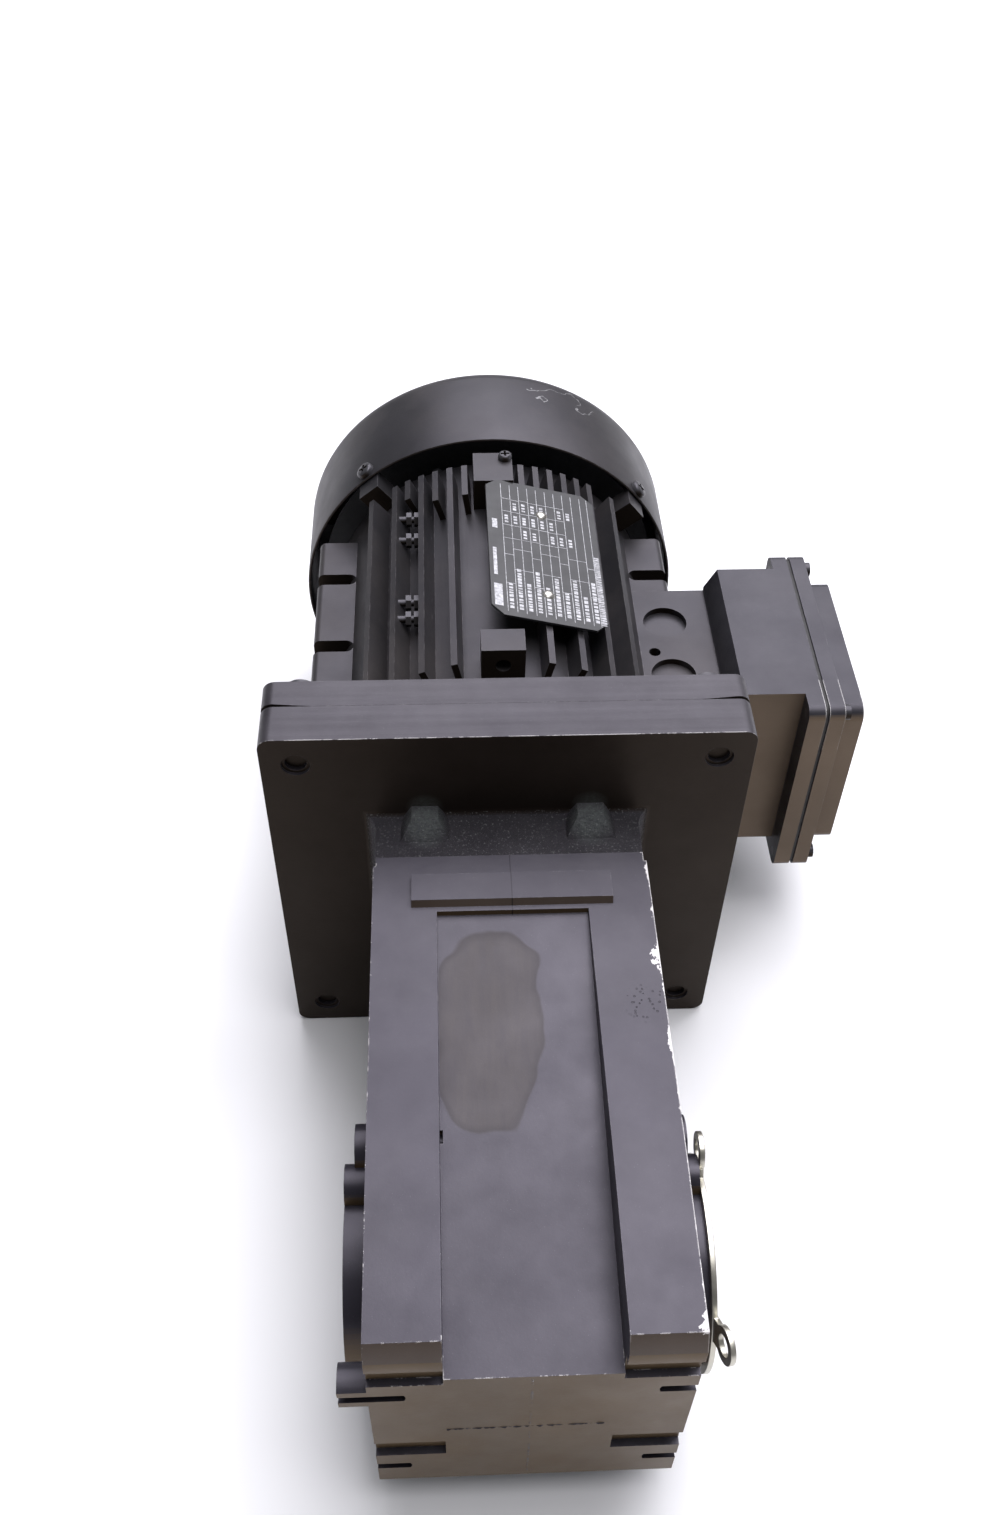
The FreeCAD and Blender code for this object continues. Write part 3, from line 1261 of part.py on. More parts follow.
def bevel_pinion():
    outer, inner = bevel_root(BEVEL_PINION_TEETH, BEVEL_WHEEL_TEETH, -WHEEL_SHIFT, WHEEL_FACE)
    y_apex = amount(s["counter_y"])
    tail = amount(s["pinion_tail"]) - y_apex
    bore = amount(s["pinion_shaft"]) * 0.75
    hub = amount(s["pinion_hub"])
    blank = turned_shape([(inner[0], bore), (inner[0], inner[1]), outer, (outer[0] + 2, hub), (tail, hub),
                          (tail, bore)])
    teeth = bevel_teeth(BEVEL_PINION_TEETH, BEVEL_WHEEL_TEETH, -WHEEL_SHIFT, BEVEL_BACKLASH, WHEEL_FACE)
    step = 180.0 / BEVEL_PINION_TEETH
    for tooth in teeth:
        tooth.rotate(FreeCAD.Vector(), FreeCAD.Vector(0, 0, 1), step)
    pinion = plain(blank.multiFuse(teeth))
    turn = FreeCAD.Rotation(FreeCAD.Vector(1, 0, 0), FreeCAD.Vector(0, 0, -1),
                            FreeCAD.Vector(0, 1, 0), "ZXY")
    return place(pinion, (0, s["counter_y"], motor_z), turn)


def rotor_shaft():
    nose = s["pinion_shaft"] * 0.75
    return turned(MOTOR_AXIS, [
        (s["shaft_front"], 0), (s["shaft_back"], 0), (s["shaft_back"], s["fan_seat"]),
        (s["fan_shoulder"], s["fan_seat"]), (s["fan_shoulder"], s["motor_bore"]),
        (s["rear_stop"], s["motor_bore"]), (s["rear_stop"], s["rotor_seat"]),
        (s["front_stop"] + s["motor_width"], s["rotor_seat"]),
        (s["front_stop"] + s["motor_width"], s["motor_bore"]), (s["nose_back"], s["motor_bore"]),
        (s["nose_back"], s["pinion_bore"]), (s["pinion_tail"], s["pinion_bore"]), (s["pinion_tail"], nose),
        (s["shaft_front"], nose)])


part("bevel_pinion", bevel_pinion())
part("rotor_shaft", rotor_shaft())
rotor_radius = s["core_bore"] - s["air_gap"]
part("rotor_core", tube(MOTOR_AXIS, s["core_front"], s["core_back"], s["rotor_seat"], rotor_radius))
part("rotor_end_rings", group([
    tube(MOTOR_AXIS, s["core_front"] - 9, s["core_front"], 28, rotor_radius - 1),
    tube(MOTOR_AXIS, s["core_back"], s["core_back"] + 9, 28, rotor_radius - 1)]))

FAN_BLADES = 9
BLADE_THICK = 2.2
BLADE_ROOT = 14.0
CIRCLIP_START = 18.0
CIRCLIP_THICK = 1.2


def fan():
    front = s["fan_front"]
    pieces = [rod(MOTOR_AXIS, front - 4, front + s["fan_width"] - 2, s["fan_hub"]),
              rod(MOTOR_AXIS, front, front + 2.5, s["fan_disc"])]
    for angle in ring_of(FAN_BLADES):
        blade = doc.addObject("Part::Box", "fan_blade")
        blade.Length = BLADE_THICK
        blade.Width = amount(s["fan_width"])
        blade.Height = amount(s["fan_radius"]) - BLADE_ROOT
        pieces.append(about_motor(blade, math.degrees(angle), (-BLADE_THICK / 2, amount(front), BLADE_ROOT)))
    return cut(fused(pieces), [rod(MOTOR_AXIS, front - 10, front + 30, s["fan_seat"])])


part("fan", fan())
clip_start = s["fan_front"] + CIRCLIP_START
part("fan_circlip", tube(MOTOR_AXIS, clip_start, clip_start + CIRCLIP_THICK, s["fan_seat"],
                         s["fan_seat"] + 3))

# ---------------------------------------------------------------- bearings in their seats

inner_face = s["cavity_half"]
BEARINGS = {
    "output_bearing": (OUTPUT_AXIS, [(inner_face, inner_face + s["output_width"]),
                                     (-inner_face - s["output_width"], -inner_face)],
                       s["output_bore"], s["output_outside"]),
    "counter_bearing": (COUNTER_AXIS, [(inner_face, inner_face + s["counter_width"]),
                                       (-inner_face - s["counter_width"], -inner_face)],
                        s["counter_bore"], s["counter_outside"]),
    "pinion_bearing": (MOTOR_AXIS, [(s["pinion_stop"] - s["pinion_width"], s["pinion_stop"])],
                       s["pinion_bore"], s["pinion_outside"]),
    "motor_bearing": (MOTOR_AXIS, [(s["front_stop"], s["front_stop"] + s["motor_width"]),
                                   (s["rear_stop"], s["rear_stop"] + s["motor_width"])],
                      s["motor_bore"], s["motor_outside"]),
}
PLACE_NAMES = {"output_bearing": ("right", "left"), "counter_bearing": ("right", "left"),
               "pinion_bearing": ("",), "motor_bearing": ("front", "rear")}
for name, (line, spans, inside, outside) in BEARINGS.items():
    for (start, end), position in zip(spans, PLACE_NAMES[name]):
        fixed, turning = bearing(line, start, end, inside, outside)
        suffix = "_" + position if position else ""
        part(name + "_outer" + suffix, group(fixed))
        part(name + "_inner" + suffix, turning)

# ---------------------------------------------------------------- check and write

doc.recompute()
problems = [item.Name + " " + item.Label for item in doc.Objects
            if "Invalid" in item.State or "Error" in item.State]
for label, thing in subparts.items():
    if thing.Shape.isNull() or not thing.Shape.isValid() or not thing.Shape.Solids:
        problems.append("bad shape " + label)
if problems:
    raise RuntimeError("failed: " + ", ".join(problems))
os.makedirs("parts", exist_ok=True)
for label, thing in subparts.items():
    thing.Shape.exportStep("parts/%s.step" % label)
    print("%-28s %2d solids %12.1f mm3" % (label, len(thing.Shape.Solids), thing.Shape.Volume))
print(len(subparts), "sub-parts")
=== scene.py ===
import json
import math
import random

import bmesh
import bpy
from mathutils import Matrix, Vector

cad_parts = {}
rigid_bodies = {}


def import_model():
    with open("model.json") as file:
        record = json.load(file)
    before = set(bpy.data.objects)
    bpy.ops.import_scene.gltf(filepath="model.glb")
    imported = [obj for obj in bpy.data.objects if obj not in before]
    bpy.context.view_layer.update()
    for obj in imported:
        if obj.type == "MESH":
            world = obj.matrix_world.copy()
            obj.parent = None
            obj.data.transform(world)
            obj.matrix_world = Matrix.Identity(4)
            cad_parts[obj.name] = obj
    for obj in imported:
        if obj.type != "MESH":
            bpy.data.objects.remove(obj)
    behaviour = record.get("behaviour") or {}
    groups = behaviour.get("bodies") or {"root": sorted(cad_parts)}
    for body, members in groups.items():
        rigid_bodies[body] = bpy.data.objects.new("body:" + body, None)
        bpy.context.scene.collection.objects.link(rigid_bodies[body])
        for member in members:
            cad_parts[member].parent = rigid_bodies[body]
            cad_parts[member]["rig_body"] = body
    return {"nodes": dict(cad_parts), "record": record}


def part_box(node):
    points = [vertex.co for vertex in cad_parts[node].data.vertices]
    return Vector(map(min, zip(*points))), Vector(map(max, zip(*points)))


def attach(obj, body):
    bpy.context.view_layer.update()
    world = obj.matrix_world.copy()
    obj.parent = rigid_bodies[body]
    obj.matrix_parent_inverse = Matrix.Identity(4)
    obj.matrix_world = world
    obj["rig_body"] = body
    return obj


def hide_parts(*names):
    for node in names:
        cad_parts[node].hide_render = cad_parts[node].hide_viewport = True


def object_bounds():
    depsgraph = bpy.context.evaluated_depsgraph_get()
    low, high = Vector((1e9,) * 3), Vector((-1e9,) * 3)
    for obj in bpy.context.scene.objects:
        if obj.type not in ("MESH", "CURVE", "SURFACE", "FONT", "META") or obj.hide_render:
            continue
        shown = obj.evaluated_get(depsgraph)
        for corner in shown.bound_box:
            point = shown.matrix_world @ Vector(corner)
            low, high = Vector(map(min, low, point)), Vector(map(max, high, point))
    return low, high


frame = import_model()
cad_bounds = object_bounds()

# Lengths are in metres; those written in millimetres are multiplied by MM.
MM = 0.001
rng = random.Random(11)
FLANGE_LOW, FLANGE_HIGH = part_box("input_flange")
END_FACE_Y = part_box("gear_housing")[0].y
COWL_LOW, COWL_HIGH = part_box("fan_cowl")
MOTOR_Z = (FLANGE_LOW.z + FLANGE_HIGH.z) / 2
FLOOR_Z = cad_bounds[0][2]

# ---------------------------------------------------------------- camera, floor and lights


CAMERA_PLACE = Vector((-22.16, -204.31, 479.28)) * MM
CAMERA_RIGHT = Vector((0.9991, -0.0406, 0.0154))
CAMERA_UP = Vector((0.0193, 0.7339, 0.6789))
FLOOR_HALF = 6.0
FLOOR_GAP = 0.0004


def make_camera():
    """A camera above the gearbox end, looking down its length towards the motor."""
    data = bpy.data.cameras.new("camera")
    data.lens = 33.95
    data.sensor_width = 36.0
    data.clip_start = 0.01
    camera = bpy.data.objects.new("camera", data)
    back = CAMERA_RIGHT.cross(CAMERA_UP).normalized()
    up = back.cross(CAMERA_RIGHT).normalized()
    turn = Matrix((CAMERA_RIGHT, up, back)).transposed().to_4x4()
    camera.matrix_world = Matrix.Translation(CAMERA_PLACE) @ turn
    bpy.context.scene.collection.objects.link(camera)
    bpy.context.scene.camera = camera


def make_floor():
    """A plain sheet of pale paper just under the lowest point."""
    mesh = bpy.data.meshes.new("floor")
    corners = [(-FLOOR_HALF, -FLOOR_HALF), (FLOOR_HALF, -FLOOR_HALF), (FLOOR_HALF, FLOOR_HALF),
               (-FLOOR_HALF, FLOOR_HALF)]
    mesh.from_pydata([(x, y, FLOOR_Z - FLOOR_GAP) for x, y in corners], [], [(0, 1, 2, 3)])
    floor = bpy.data.objects.new("floor", mesh)
    bpy.context.scene.collection.objects.link(floor)
    material = bpy.data.materials.new("floor_paper")
    material.use_nodes = True
    shader = material.node_tree.nodes["Principled BSDF"]
    shader.inputs["Base Color"].default_value = (0.86, 0.86, 0.86, 1)
    shader.inputs["Roughness"].default_value = 0.9
    shader.inputs["Specular IOR Level"].default_value = 0.1
    mesh.materials.append(material)


def area_light(name, place, target, size, power, colour):
    """A rectangular soft box at a place, aimed at a target; power is in watts."""
    data = bpy.data.lights.new(name, "AREA")
    data.shape = "RECTANGLE"
    data.size, data.size_y = size
    data.energy = power
    data.color = colour
    light = bpy.data.objects.new(name, data)
    light.location = place
    direction = Vector(target) - Vector(place)
    light.rotation_euler = direction.to_track_quat("-Z", "Y").to_euler()
    bpy.context.scene.collection.objects.link(light)


def make_lights():
    """A large soft box behind the motor for the sheen on the top faces, one overhead, and a dim sky."""
    area_light("key", place=(0.45, 1.35, 1.80), target=(0, 0.10, 0.05), size=(2.6, 2.0), power=78,
               colour=(0.94, 0.93, 1.0))
    area_light("overhead", place=(0.30, 0.10, 2.10), target=(0.05, 0.05, 0), size=(1.5, 1.0), power=34,
               colour=(0.96, 0.95, 1.0))
    world = bpy.data.worlds.new("studio")
    world.use_nodes = True
    sky = world.node_tree.nodes["Background"]
    sky.inputs["Color"].default_value = (0.95, 0.96, 1.0, 1)
    sky.inputs["Strength"].default_value = 0.22
    bpy.context.scene.world = world
    bpy.context.scene.view_settings.view_transform = "Standard"


# ---------------------------------------------------------------- materials


class Nodes:
    """Short ways to build one material's nodes; coordinates are the row frame, in metres."""

    def __init__(self, name):
        self.material = bpy.data.materials.new(name)
        self.material.use_nodes = True
        self.tree = self.material.node_tree
        self.shader = self.tree.nodes["Principled BSDF"]
        self.place = self.add("ShaderNodeTexCoord").outputs["Object"]

    def add(self, kind, **settings):
        """A new node, with its settings."""
        node = self.tree.nodes.new(kind)
        for key, value in settings.items():
            setattr(node, key, value)
        return node

    def feed(self, socket, value):
        """Link another socket to this one, or set it to a plain value."""
        if isinstance(value, bpy.types.NodeSocket):
            self.tree.links.new(value, socket)
        else:
            socket.default_value = value

    def noise(self, scale, detail=4.0, rough=0.55, stretch=None):
        """Cloudy noise from 0 to 1 with about scale blobs to a metre, finer along a stretched axis."""
        node = self.add("ShaderNodeTexNoise")
        where = self.place
        if stretch:
            mapping = self.add("ShaderNodeMapping")
            self.feed(mapping.inputs["Vector"], where)
            mapping.inputs["Scale"].default_value = stretch
            where = mapping.outputs["Vector"]
        self.feed(node.inputs["Vector"], where)
        node.inputs["Scale"].default_value = scale
        node.inputs["Detail"].default_value = detail
        node.inputs["Roughness"].default_value = rough
        return node.outputs["Fac"]

    def ramp(self, value, low, high, out_low=0.0, out_high=1.0):
        """A value's range from low to high, laid on another range and held inside it."""
        node = self.add("ShaderNodeMapRange", clamp=True)
        for key, amount in (("Value", value), ("From Min", low), ("From Max", high),
                            ("To Min", out_low), ("To Max", out_high)):
            self.feed(node.inputs[key], amount)
        return node.outputs["Result"]

    def math(self, operation, first, second=0.0):
        node = self.add("ShaderNodeMath", operation=operation)
        self.feed(node.inputs[0], first)
        self.feed(node.inputs[1], second)
        return node.outputs[0]

    def times(self, first, second):
        return self.math("MULTIPLY", first, second)

    def plus(self, first, second):
        return self.math("ADD", first, second)

    def minus(self, first, second):
        return self.math("SUBTRACT", first, second)

    def larger(self, first, second):
        return self.math("MAXIMUM", first, second)

    def mix(self, share, first, second):
        """The first colour, with a share of the second laid over it."""
        node = self.add("ShaderNodeMix", data_type="RGBA")
        for index, value in ((0, share), (6, first), (7, second)):
            self.feed(node.inputs[index], value if isinstance(value, bpy.types.NodeSocket) or index == 0
                      else tuple(value) + (1,))
        return node.outputs[2]

    def near(self, centre, radius, soft=0.5):
        """1 inside a ball about a place, fading to 0 at its radius; all in metres."""
        node = self.add("ShaderNodeVectorMath", operation="DISTANCE")
        self.feed(node.inputs[0], self.place)
        node.inputs[1].default_value = centre
        return self.ramp(node.outputs["Value"], radius, radius * soft)

    def parts(self):
        """The place's X, Y and Z."""
        node = self.add("ShaderNodeSeparateXYZ")
        self.feed(node.inputs[0], self.place)
        return node.outputs

    def within(self, low, high):
        """1 inside a box between two corners, in metres."""
        inside = None
        for value, start, end in zip(self.parts(), low, high):
            both = self.times(self.math("GREATER_THAN", value, start), self.math("LESS_THAN", value, end))
            inside = both if inside is None else self.times(inside, both)
        return inside

    def bump(self, height, strength, distance, normal=None):
        """A normal that leans with a height, on top of another normal if one is given."""
        node = self.add("ShaderNodeBump")
        self.feed(node.inputs["Height"], height)
        node.inputs["Strength"].default_value = strength
        node.inputs["Distance"].default_value = distance
        if normal is not None:
            self.feed(node.inputs["Normal"], normal)
        return node.outputs["Normal"]

    def edges(self, radius, low=0.02, high=0.12):
        """1 on convex and concave edges, from how far a rounded normal leaves the face's own."""
        bevel = self.add("ShaderNodeBevel", samples=4)
        bevel.inputs["Radius"].default_value = radius
        geometry = self.add("ShaderNodeNewGeometry")
        dot = self.add("ShaderNodeVectorMath", operation="DOT_PRODUCT")
        self.feed(dot.inputs[0], bevel.outputs["Normal"])
        self.feed(dot.inputs[1], geometry.outputs["Normal"])
        turned = self.minus(1.0, dot.outputs["Value"])
        return self.ramp(turned, low, high)


PALE_DUST = (0.13, 0.125, 0.13)
FLECK = (0.30, 0.30, 0.31)
RUBBED = (0.26, 0.25, 0.25)
PRIMER = (0.66, 0.64, 0.62)
BARE_METAL = (0.72, 0.70, 0.68)
# Specular tints that paint reflections: lavender on the top faces, like a pale sky above them, and brown on
# the faces turned towards the camera, like a brown floor below them.
COOL_SHEEN = (0.94, 0.89, 1.0)
WARM_SHEEN = (1.0, 0.68, 0.40)
# Default colour of the painted floor reflection on faces turned towards the camera.
FRONT_REFLECTION_BROWN = (0.010, 0.007, 0.005)
GLOSS_LEVEL = 0.42


def paint(name, dark, light, gloss, dust=0.25, dust_colour=PALE_DUST, chips=0.0, bare_edges=(),
          front=FRONT_REFLECTION_BROWN, front_gloss=0.14, extras=()):
    """Old semi-gloss paint: mottled colour, orange peel, dust, worn edges and chips down to pale primer.

    bare_edges are (low corner, high corner, share) boxes whose edges have lost more paint. Each extra is a
    function that takes the nodes and the colour, roughness and normal so far, and returns new ones. The
    faces turned towards the camera get a painted reflection of a brown floor: front is its colour, and
    front_gloss is their lower specular level, which dims their reflections.
    """
    n = Nodes(name)
    blotch = n.ramp(n.noise(26, 5), 0.3, 0.7)
    colour = n.mix(blotch, dark, light)
    dust_mask = n.times(n.ramp(n.noise(9, 6, 0.7), 0.45, 0.75), dust)
    colour = n.mix(dust_mask, colour, dust_colour)
    fleck = n.ramp(n.noise(2600, 2, 0.5), 0.70, 0.78)
    colour = n.mix(n.times(fleck, 0.25), colour, FLECK)
    edge = n.edges(0.7 * MM)
    broken = n.ramp(n.noise(240, 4, 0.7), 0.50, 0.64)
    colour = n.mix(n.times(n.times(edge, broken), 0.30), colour, RUBBED)
    bare = n.ramp(n.noise(110, 5, 0.8), 0.72 - 0.10 * chips, 0.74 - 0.10 * chips)
    for low, high, share in bare_edges:
        torn = n.ramp(n.noise(210, 5, 0.85), 0.62 - 0.26 * share, 0.65 - 0.26 * share)
        bare = n.larger(bare, n.times(n.within(low, high), torn))
    colour = n.mix(n.times(edge, bare), colour, PRIMER)
    rough = n.ramp(n.noise(45, 5, 0.6), 0.3, 0.7, gloss, gloss + 0.12)
    rough = n.plus(rough, n.times(dust_mask, 0.25))
    normal = n.bump(n.noise(900, 3), 0.06, 0.4 * MM)
    # Painted reflection: faces turned towards the camera (-Y) get a mottled brown colour for the floor they
    # reflect, a warm specular tint and a lower specular level.
    facing = n.add("ShaderNodeNewGeometry")
    apart = n.add("ShaderNodeSeparateXYZ")
    n.feed(apart.inputs[0], facing.outputs["True Normal"])
    floor_reflection_mask = n.ramp(n.times(apart.outputs["Y"], -1.0), 0.80, 0.97)
    painted_floor_reflection = n.mix(n.ramp(n.noise(18, 4), 0.3, 0.7), front, [value * 1.5 for value in front])
    colour = n.mix(n.times(floor_reflection_mask, 0.85), colour, painted_floor_reflection)
    for extra in extras:
        colour, rough, normal = extra(n, colour, rough, normal)
    n.feed(n.shader.inputs["Base Color"], colour)
    n.feed(n.shader.inputs["Roughness"], rough)
    n.feed(n.shader.inputs["Normal"], normal)
    n.feed(n.shader.inputs["Specular Tint"], n.mix(floor_reflection_mask, COOL_SHEEN, WARM_SHEEN))
    n.feed(n.shader.inputs["Specular IOR Level"],
           n.minus(GLOSS_LEVEL, n.times(floor_reflection_mask, GLOSS_LEVEL - front_gloss)))
    return n.material


STAIN_WARP = (0.020, 0.026, 0)
STAIN_CENTRE = (0.04, -1.95, 0)
STAIN_REACH = (52, 27.5, 0)
STAIN = (0.075, 0.066, 0.058)
STAIN_RIM = (0.018, 0.016, 0.016)


def stained_floor(n, colour, rough, normal):
    """A dried liquid mark on the channel's floor, with a crisp, slightly darker rim.

    The mark is where the place, shifted by noise and scaled about the mark's middle, is nearer than 1.
    """
    warp = n.add("ShaderNodeTexNoise")
    n.feed(warp.inputs["Vector"], n.place)
    warp.inputs["Scale"].default_value = 34
    shifted = n.add("ShaderNodeVectorMath", operation="MULTIPLY_ADD")
    n.feed(shifted.inputs[0], warp.outputs["Color"])
    shifted.inputs[1].default_value = STAIN_WARP
    n.feed(shifted.inputs[2], n.place)
    scaled = n.add("ShaderNodeMapping")
    n.feed(scaled.inputs["Vector"], shifted.outputs[0])
    scaled.inputs["Location"].default_value = STAIN_CENTRE
    scaled.inputs["Scale"].default_value = STAIN_REACH
    length = n.add("ShaderNodeVectorMath", operation="LENGTH")
    n.feed(length.inputs[0], scaled.outputs["Vector"])
    reach = length.outputs["Value"]
    inside = n.within((-0.0268, -0.05, 0.04), (0.0268, 0.0995, 0.0680))
    mark = n.times(n.ramp(reach, 1.02, 0.98), inside)
    rim = n.times(mark, n.ramp(reach, 0.88, 1.0))
    streaks = n.ramp(n.noise(300, 4, 0.6, (1, 0.12, 1)), 0.3, 0.7)
    colour = n.mix(n.times(mark, n.plus(0.45, n.times(streaks, 0.25))), colour, STAIN)
    colour = n.mix(n.times(rim, 0.5), colour, STAIN_RIM)
    return colour, n.plus(rough, n.times(mark, 0.16)), normal


PIN_HOLE_PATCH = (0.0435, 0.0600, 0.0700)
PIN_HOLE_REACH = 8.5 * MM
# Near-black painted shade inside the pin holes.
PIN_HOLE_SHADE = (0.004, 0.004, 0.004)


def pin_holes(n, colour, rough, normal):
    """A patch of pin holes in the right strip, where the casting is porous; their insides are painted
    near-black as painted shade.
    """
    cells = n.add("ShaderNodeTexVoronoi")
    n.feed(cells.inputs["Vector"], n.place)
    cells.inputs["Scale"].default_value = 620
    patch = n.near(PIN_HOLE_PATCH, PIN_HOLE_REACH, 0.4)
    dot = n.times(n.ramp(cells.outputs["Distance"], 0.26, 0.20), patch)
    colour = n.mix(dot, colour, PIN_HOLE_SHADE)
    return colour, rough, n.bump(n.minus(1.0, dot), 0.6, 0.5 * MM, normal)


RIM_X = 0.0500
RIM_TOP = 0.0700
STRIP_BEND_Y = 0.0030
STRIP_FALL = 0.0629
LARGE_CHIP = (RIM_X, 0.0780, RIM_TOP)
CORNER_CHIP = (RIM_X, -0.0480, 0.067)


def worn_rim(n, colour, rough, normal):
    """Bare metal along the right strip's outer edge, in a broken line with two larger chips.

    Forward of its bend the strip falls away, so the top of the edge is lower there.
    """
    x, y, z = n.parts()
    reach = n.ramp(n.noise(95, 6, 0.75), 0.50, 0.70, 0.0, 1.6 * MM)
    bites = n.larger(n.near(LARGE_CHIP, 7.5 * MM, 0.3), n.near(CORNER_CHIP, 5 * MM, 0.3))
    ragged = n.ramp(n.noise(330, 4, 0.7), 0.42, 0.60, 0.0, 4.2 * MM)
    reach = n.plus(reach, n.times(bites, ragged))
    bare = n.math("GREATER_THAN", x, n.minus(RIM_X, reach))
    sunk = n.times(n.larger(0.0, n.minus(STRIP_BEND_Y, y)), STRIP_FALL)
    drop = n.minus(n.minus(RIM_TOP, sunk), z)
    bare = n.times(bare, n.math("LESS_THAN", drop, n.times(reach, 0.45)))
    bare = n.times(bare, n.within((0.040, -0.054, 0.0650), (0.060, 0.1245, 0.0705)))
    return n.mix(n.times(bare, 0.92), colour, BARE_METAL), rough, normal


def parting_line(n, colour, rough, normal):
    """The fine line left by the two mould halves across the bar and the land behind it, drawn near-black as
    painted shade in its groove.
    """
    line = n.within((-0.0003, 0.0995, 0.060), (0.0001, 0.126, 0.08))
    # Near-black painted shade in the groove of the parting line.
    return n.mix(n.times(line, 0.9), colour, (0.003, 0.003, 0.003)), rough, normal


def brushed_edge(n, colour, rough, normal):
    """Long tool marks along the front plate's top edge."""
    marks = n.noise(260, 5, 0.65, (0.03, 1, 1))
    side = n.within((-0.2, 0.148, 0.108), (0.2, 0.2, 0.12))
    rough = n.plus(rough, n.times(side, n.ramp(marks, 0.3, 0.7, -0.05, 0.08)))
    return colour, rough, n.bump(n.times(marks, side), 0.35, 0.4 * MM, normal)


NECK_LOW = (-0.06, 0.1255, -0.04)
NECK_HIGH = (0.06, 0.1458, 0.08)
GUSSETS = [(-0.031, 0.1385, 0.0735), (0.031, 0.1385, 0.0735)]
GUSSET_REACH = 10.5 * MM
# Colours of the painted highlight on the gussets' sloped faces and of the painted glints on the sand grains.
GUSSET_HIGHLIGHT = (0.115, 0.130, 0.122)
GRAIN_GLINT = (0.30, 0.31, 0.30)


def rough_casting(n, colour, rough, normal):
    """The neck's coarse sand-cast skin, with painted glints on its grains and a painted highlight on its two
    gussets.
    """
    inside = n.within(NECK_LOW, NECK_HIGH)
    grains = n.plus(n.noise(900, 4, 0.8), n.times(n.noise(260, 4), 0.9))
    glint = n.times(n.ramp(n.noise(1500, 2, 0.6), 0.60, 0.70), inside)
    left, right = [n.near(place, GUSSET_REACH, 0.45) for place in GUSSETS]
    # Painted highlight on the two gussets.
    pale = n.times(n.larger(left, right), n.ramp(n.noise(700, 4, 0.7), 0.35, 0.65, 0.35, 0.85))
    colour = n.mix(pale, colour, GUSSET_HIGHLIGHT)
    colour = n.mix(n.times(glint, 0.45), colour, GRAIN_GLINT)
    rough = n.minus(rough, n.times(inside, 0.06))
    return colour, rough, n.bump(n.times(grains, inside), 0.75, 1.4 * MM, normal)


SCRATCH_Y = 0.3735
SCRATCH_SWING = 0.05


def scratched(n, colour, rough, normal):
    """A pale scratch on the upper right of the cowl, wandering to both sides of one line."""
    wave = n.noise(60, 3, 0.6)
    swing = n.times(n.minus(wave, 0.5), SCRATCH_SWING)
    path = n.minus(n.parts()["Y"], n.plus(SCRATCH_Y, swing))
    line = n.ramp(n.math("ABSOLUTE", path), 0.5 * MM, 0.2 * MM)
    patch = n.within((0.018, 0.35, 0.08), (0.052, 0.39, 0.12))
    gaps = n.ramp(n.noise(180, 3, 0.7), 0.40, 0.50)
    mark = n.times(n.times(line, patch), gaps)
    return n.mix(n.times(mark, 0.8), colour, (0.30, 0.30, 0.30)), rough, normal


def metal(name, colour, rough, stretch, scale=300.0, stain=(0.1, 0.08, 0.06), stain_share=0.25):
    """Bare or plated metal, with its working marks drawn out along one axis."""
    n = Nodes(name)
    marks = n.noise(scale, 5, 0.6, stretch)
    dull = n.ramp(n.noise(35, 5, 0.65), 0.4, 0.75)
    shade = n.mix(n.ramp(marks, 0.3, 0.7), tuple(0.8 * c for c in colour), colour)
    n.feed(n.shader.inputs["Base Color"], n.mix(n.times(dull, stain_share), shade, stain))
    n.shader.inputs["Metallic"].default_value = 1.0
    n.feed(n.shader.inputs["Roughness"], n.ramp(marks, 0.25, 0.75, rough - 0.06, rough + 0.1))
    n.feed(n.shader.inputs["Normal"], n.bump(marks, 0.25, 0.2 * MM))
    return n.material


def moulded(name, colour, rough, grain=1200.0, depth=0.2):
    """Moulded rubber or plastic with a fine grain and a bloom."""
    n = Nodes(name)
    bloom = n.ramp(n.noise(60, 5, 0.7), 0.35, 0.75)
    bloomed = tuple(1.9 * c + 0.01 for c in colour)
    n.feed(n.shader.inputs["Base Color"], n.mix(n.times(bloom, 0.4), colour, bloomed))
    n.feed(n.shader.inputs["Roughness"], n.ramp(n.noise(200, 3), 0.3, 0.7, rough, rough + 0.12))
    n.feed(n.shader.inputs["Normal"], n.bump(n.noise(grain, 3), depth, 0.3 * MM))
    return n.material


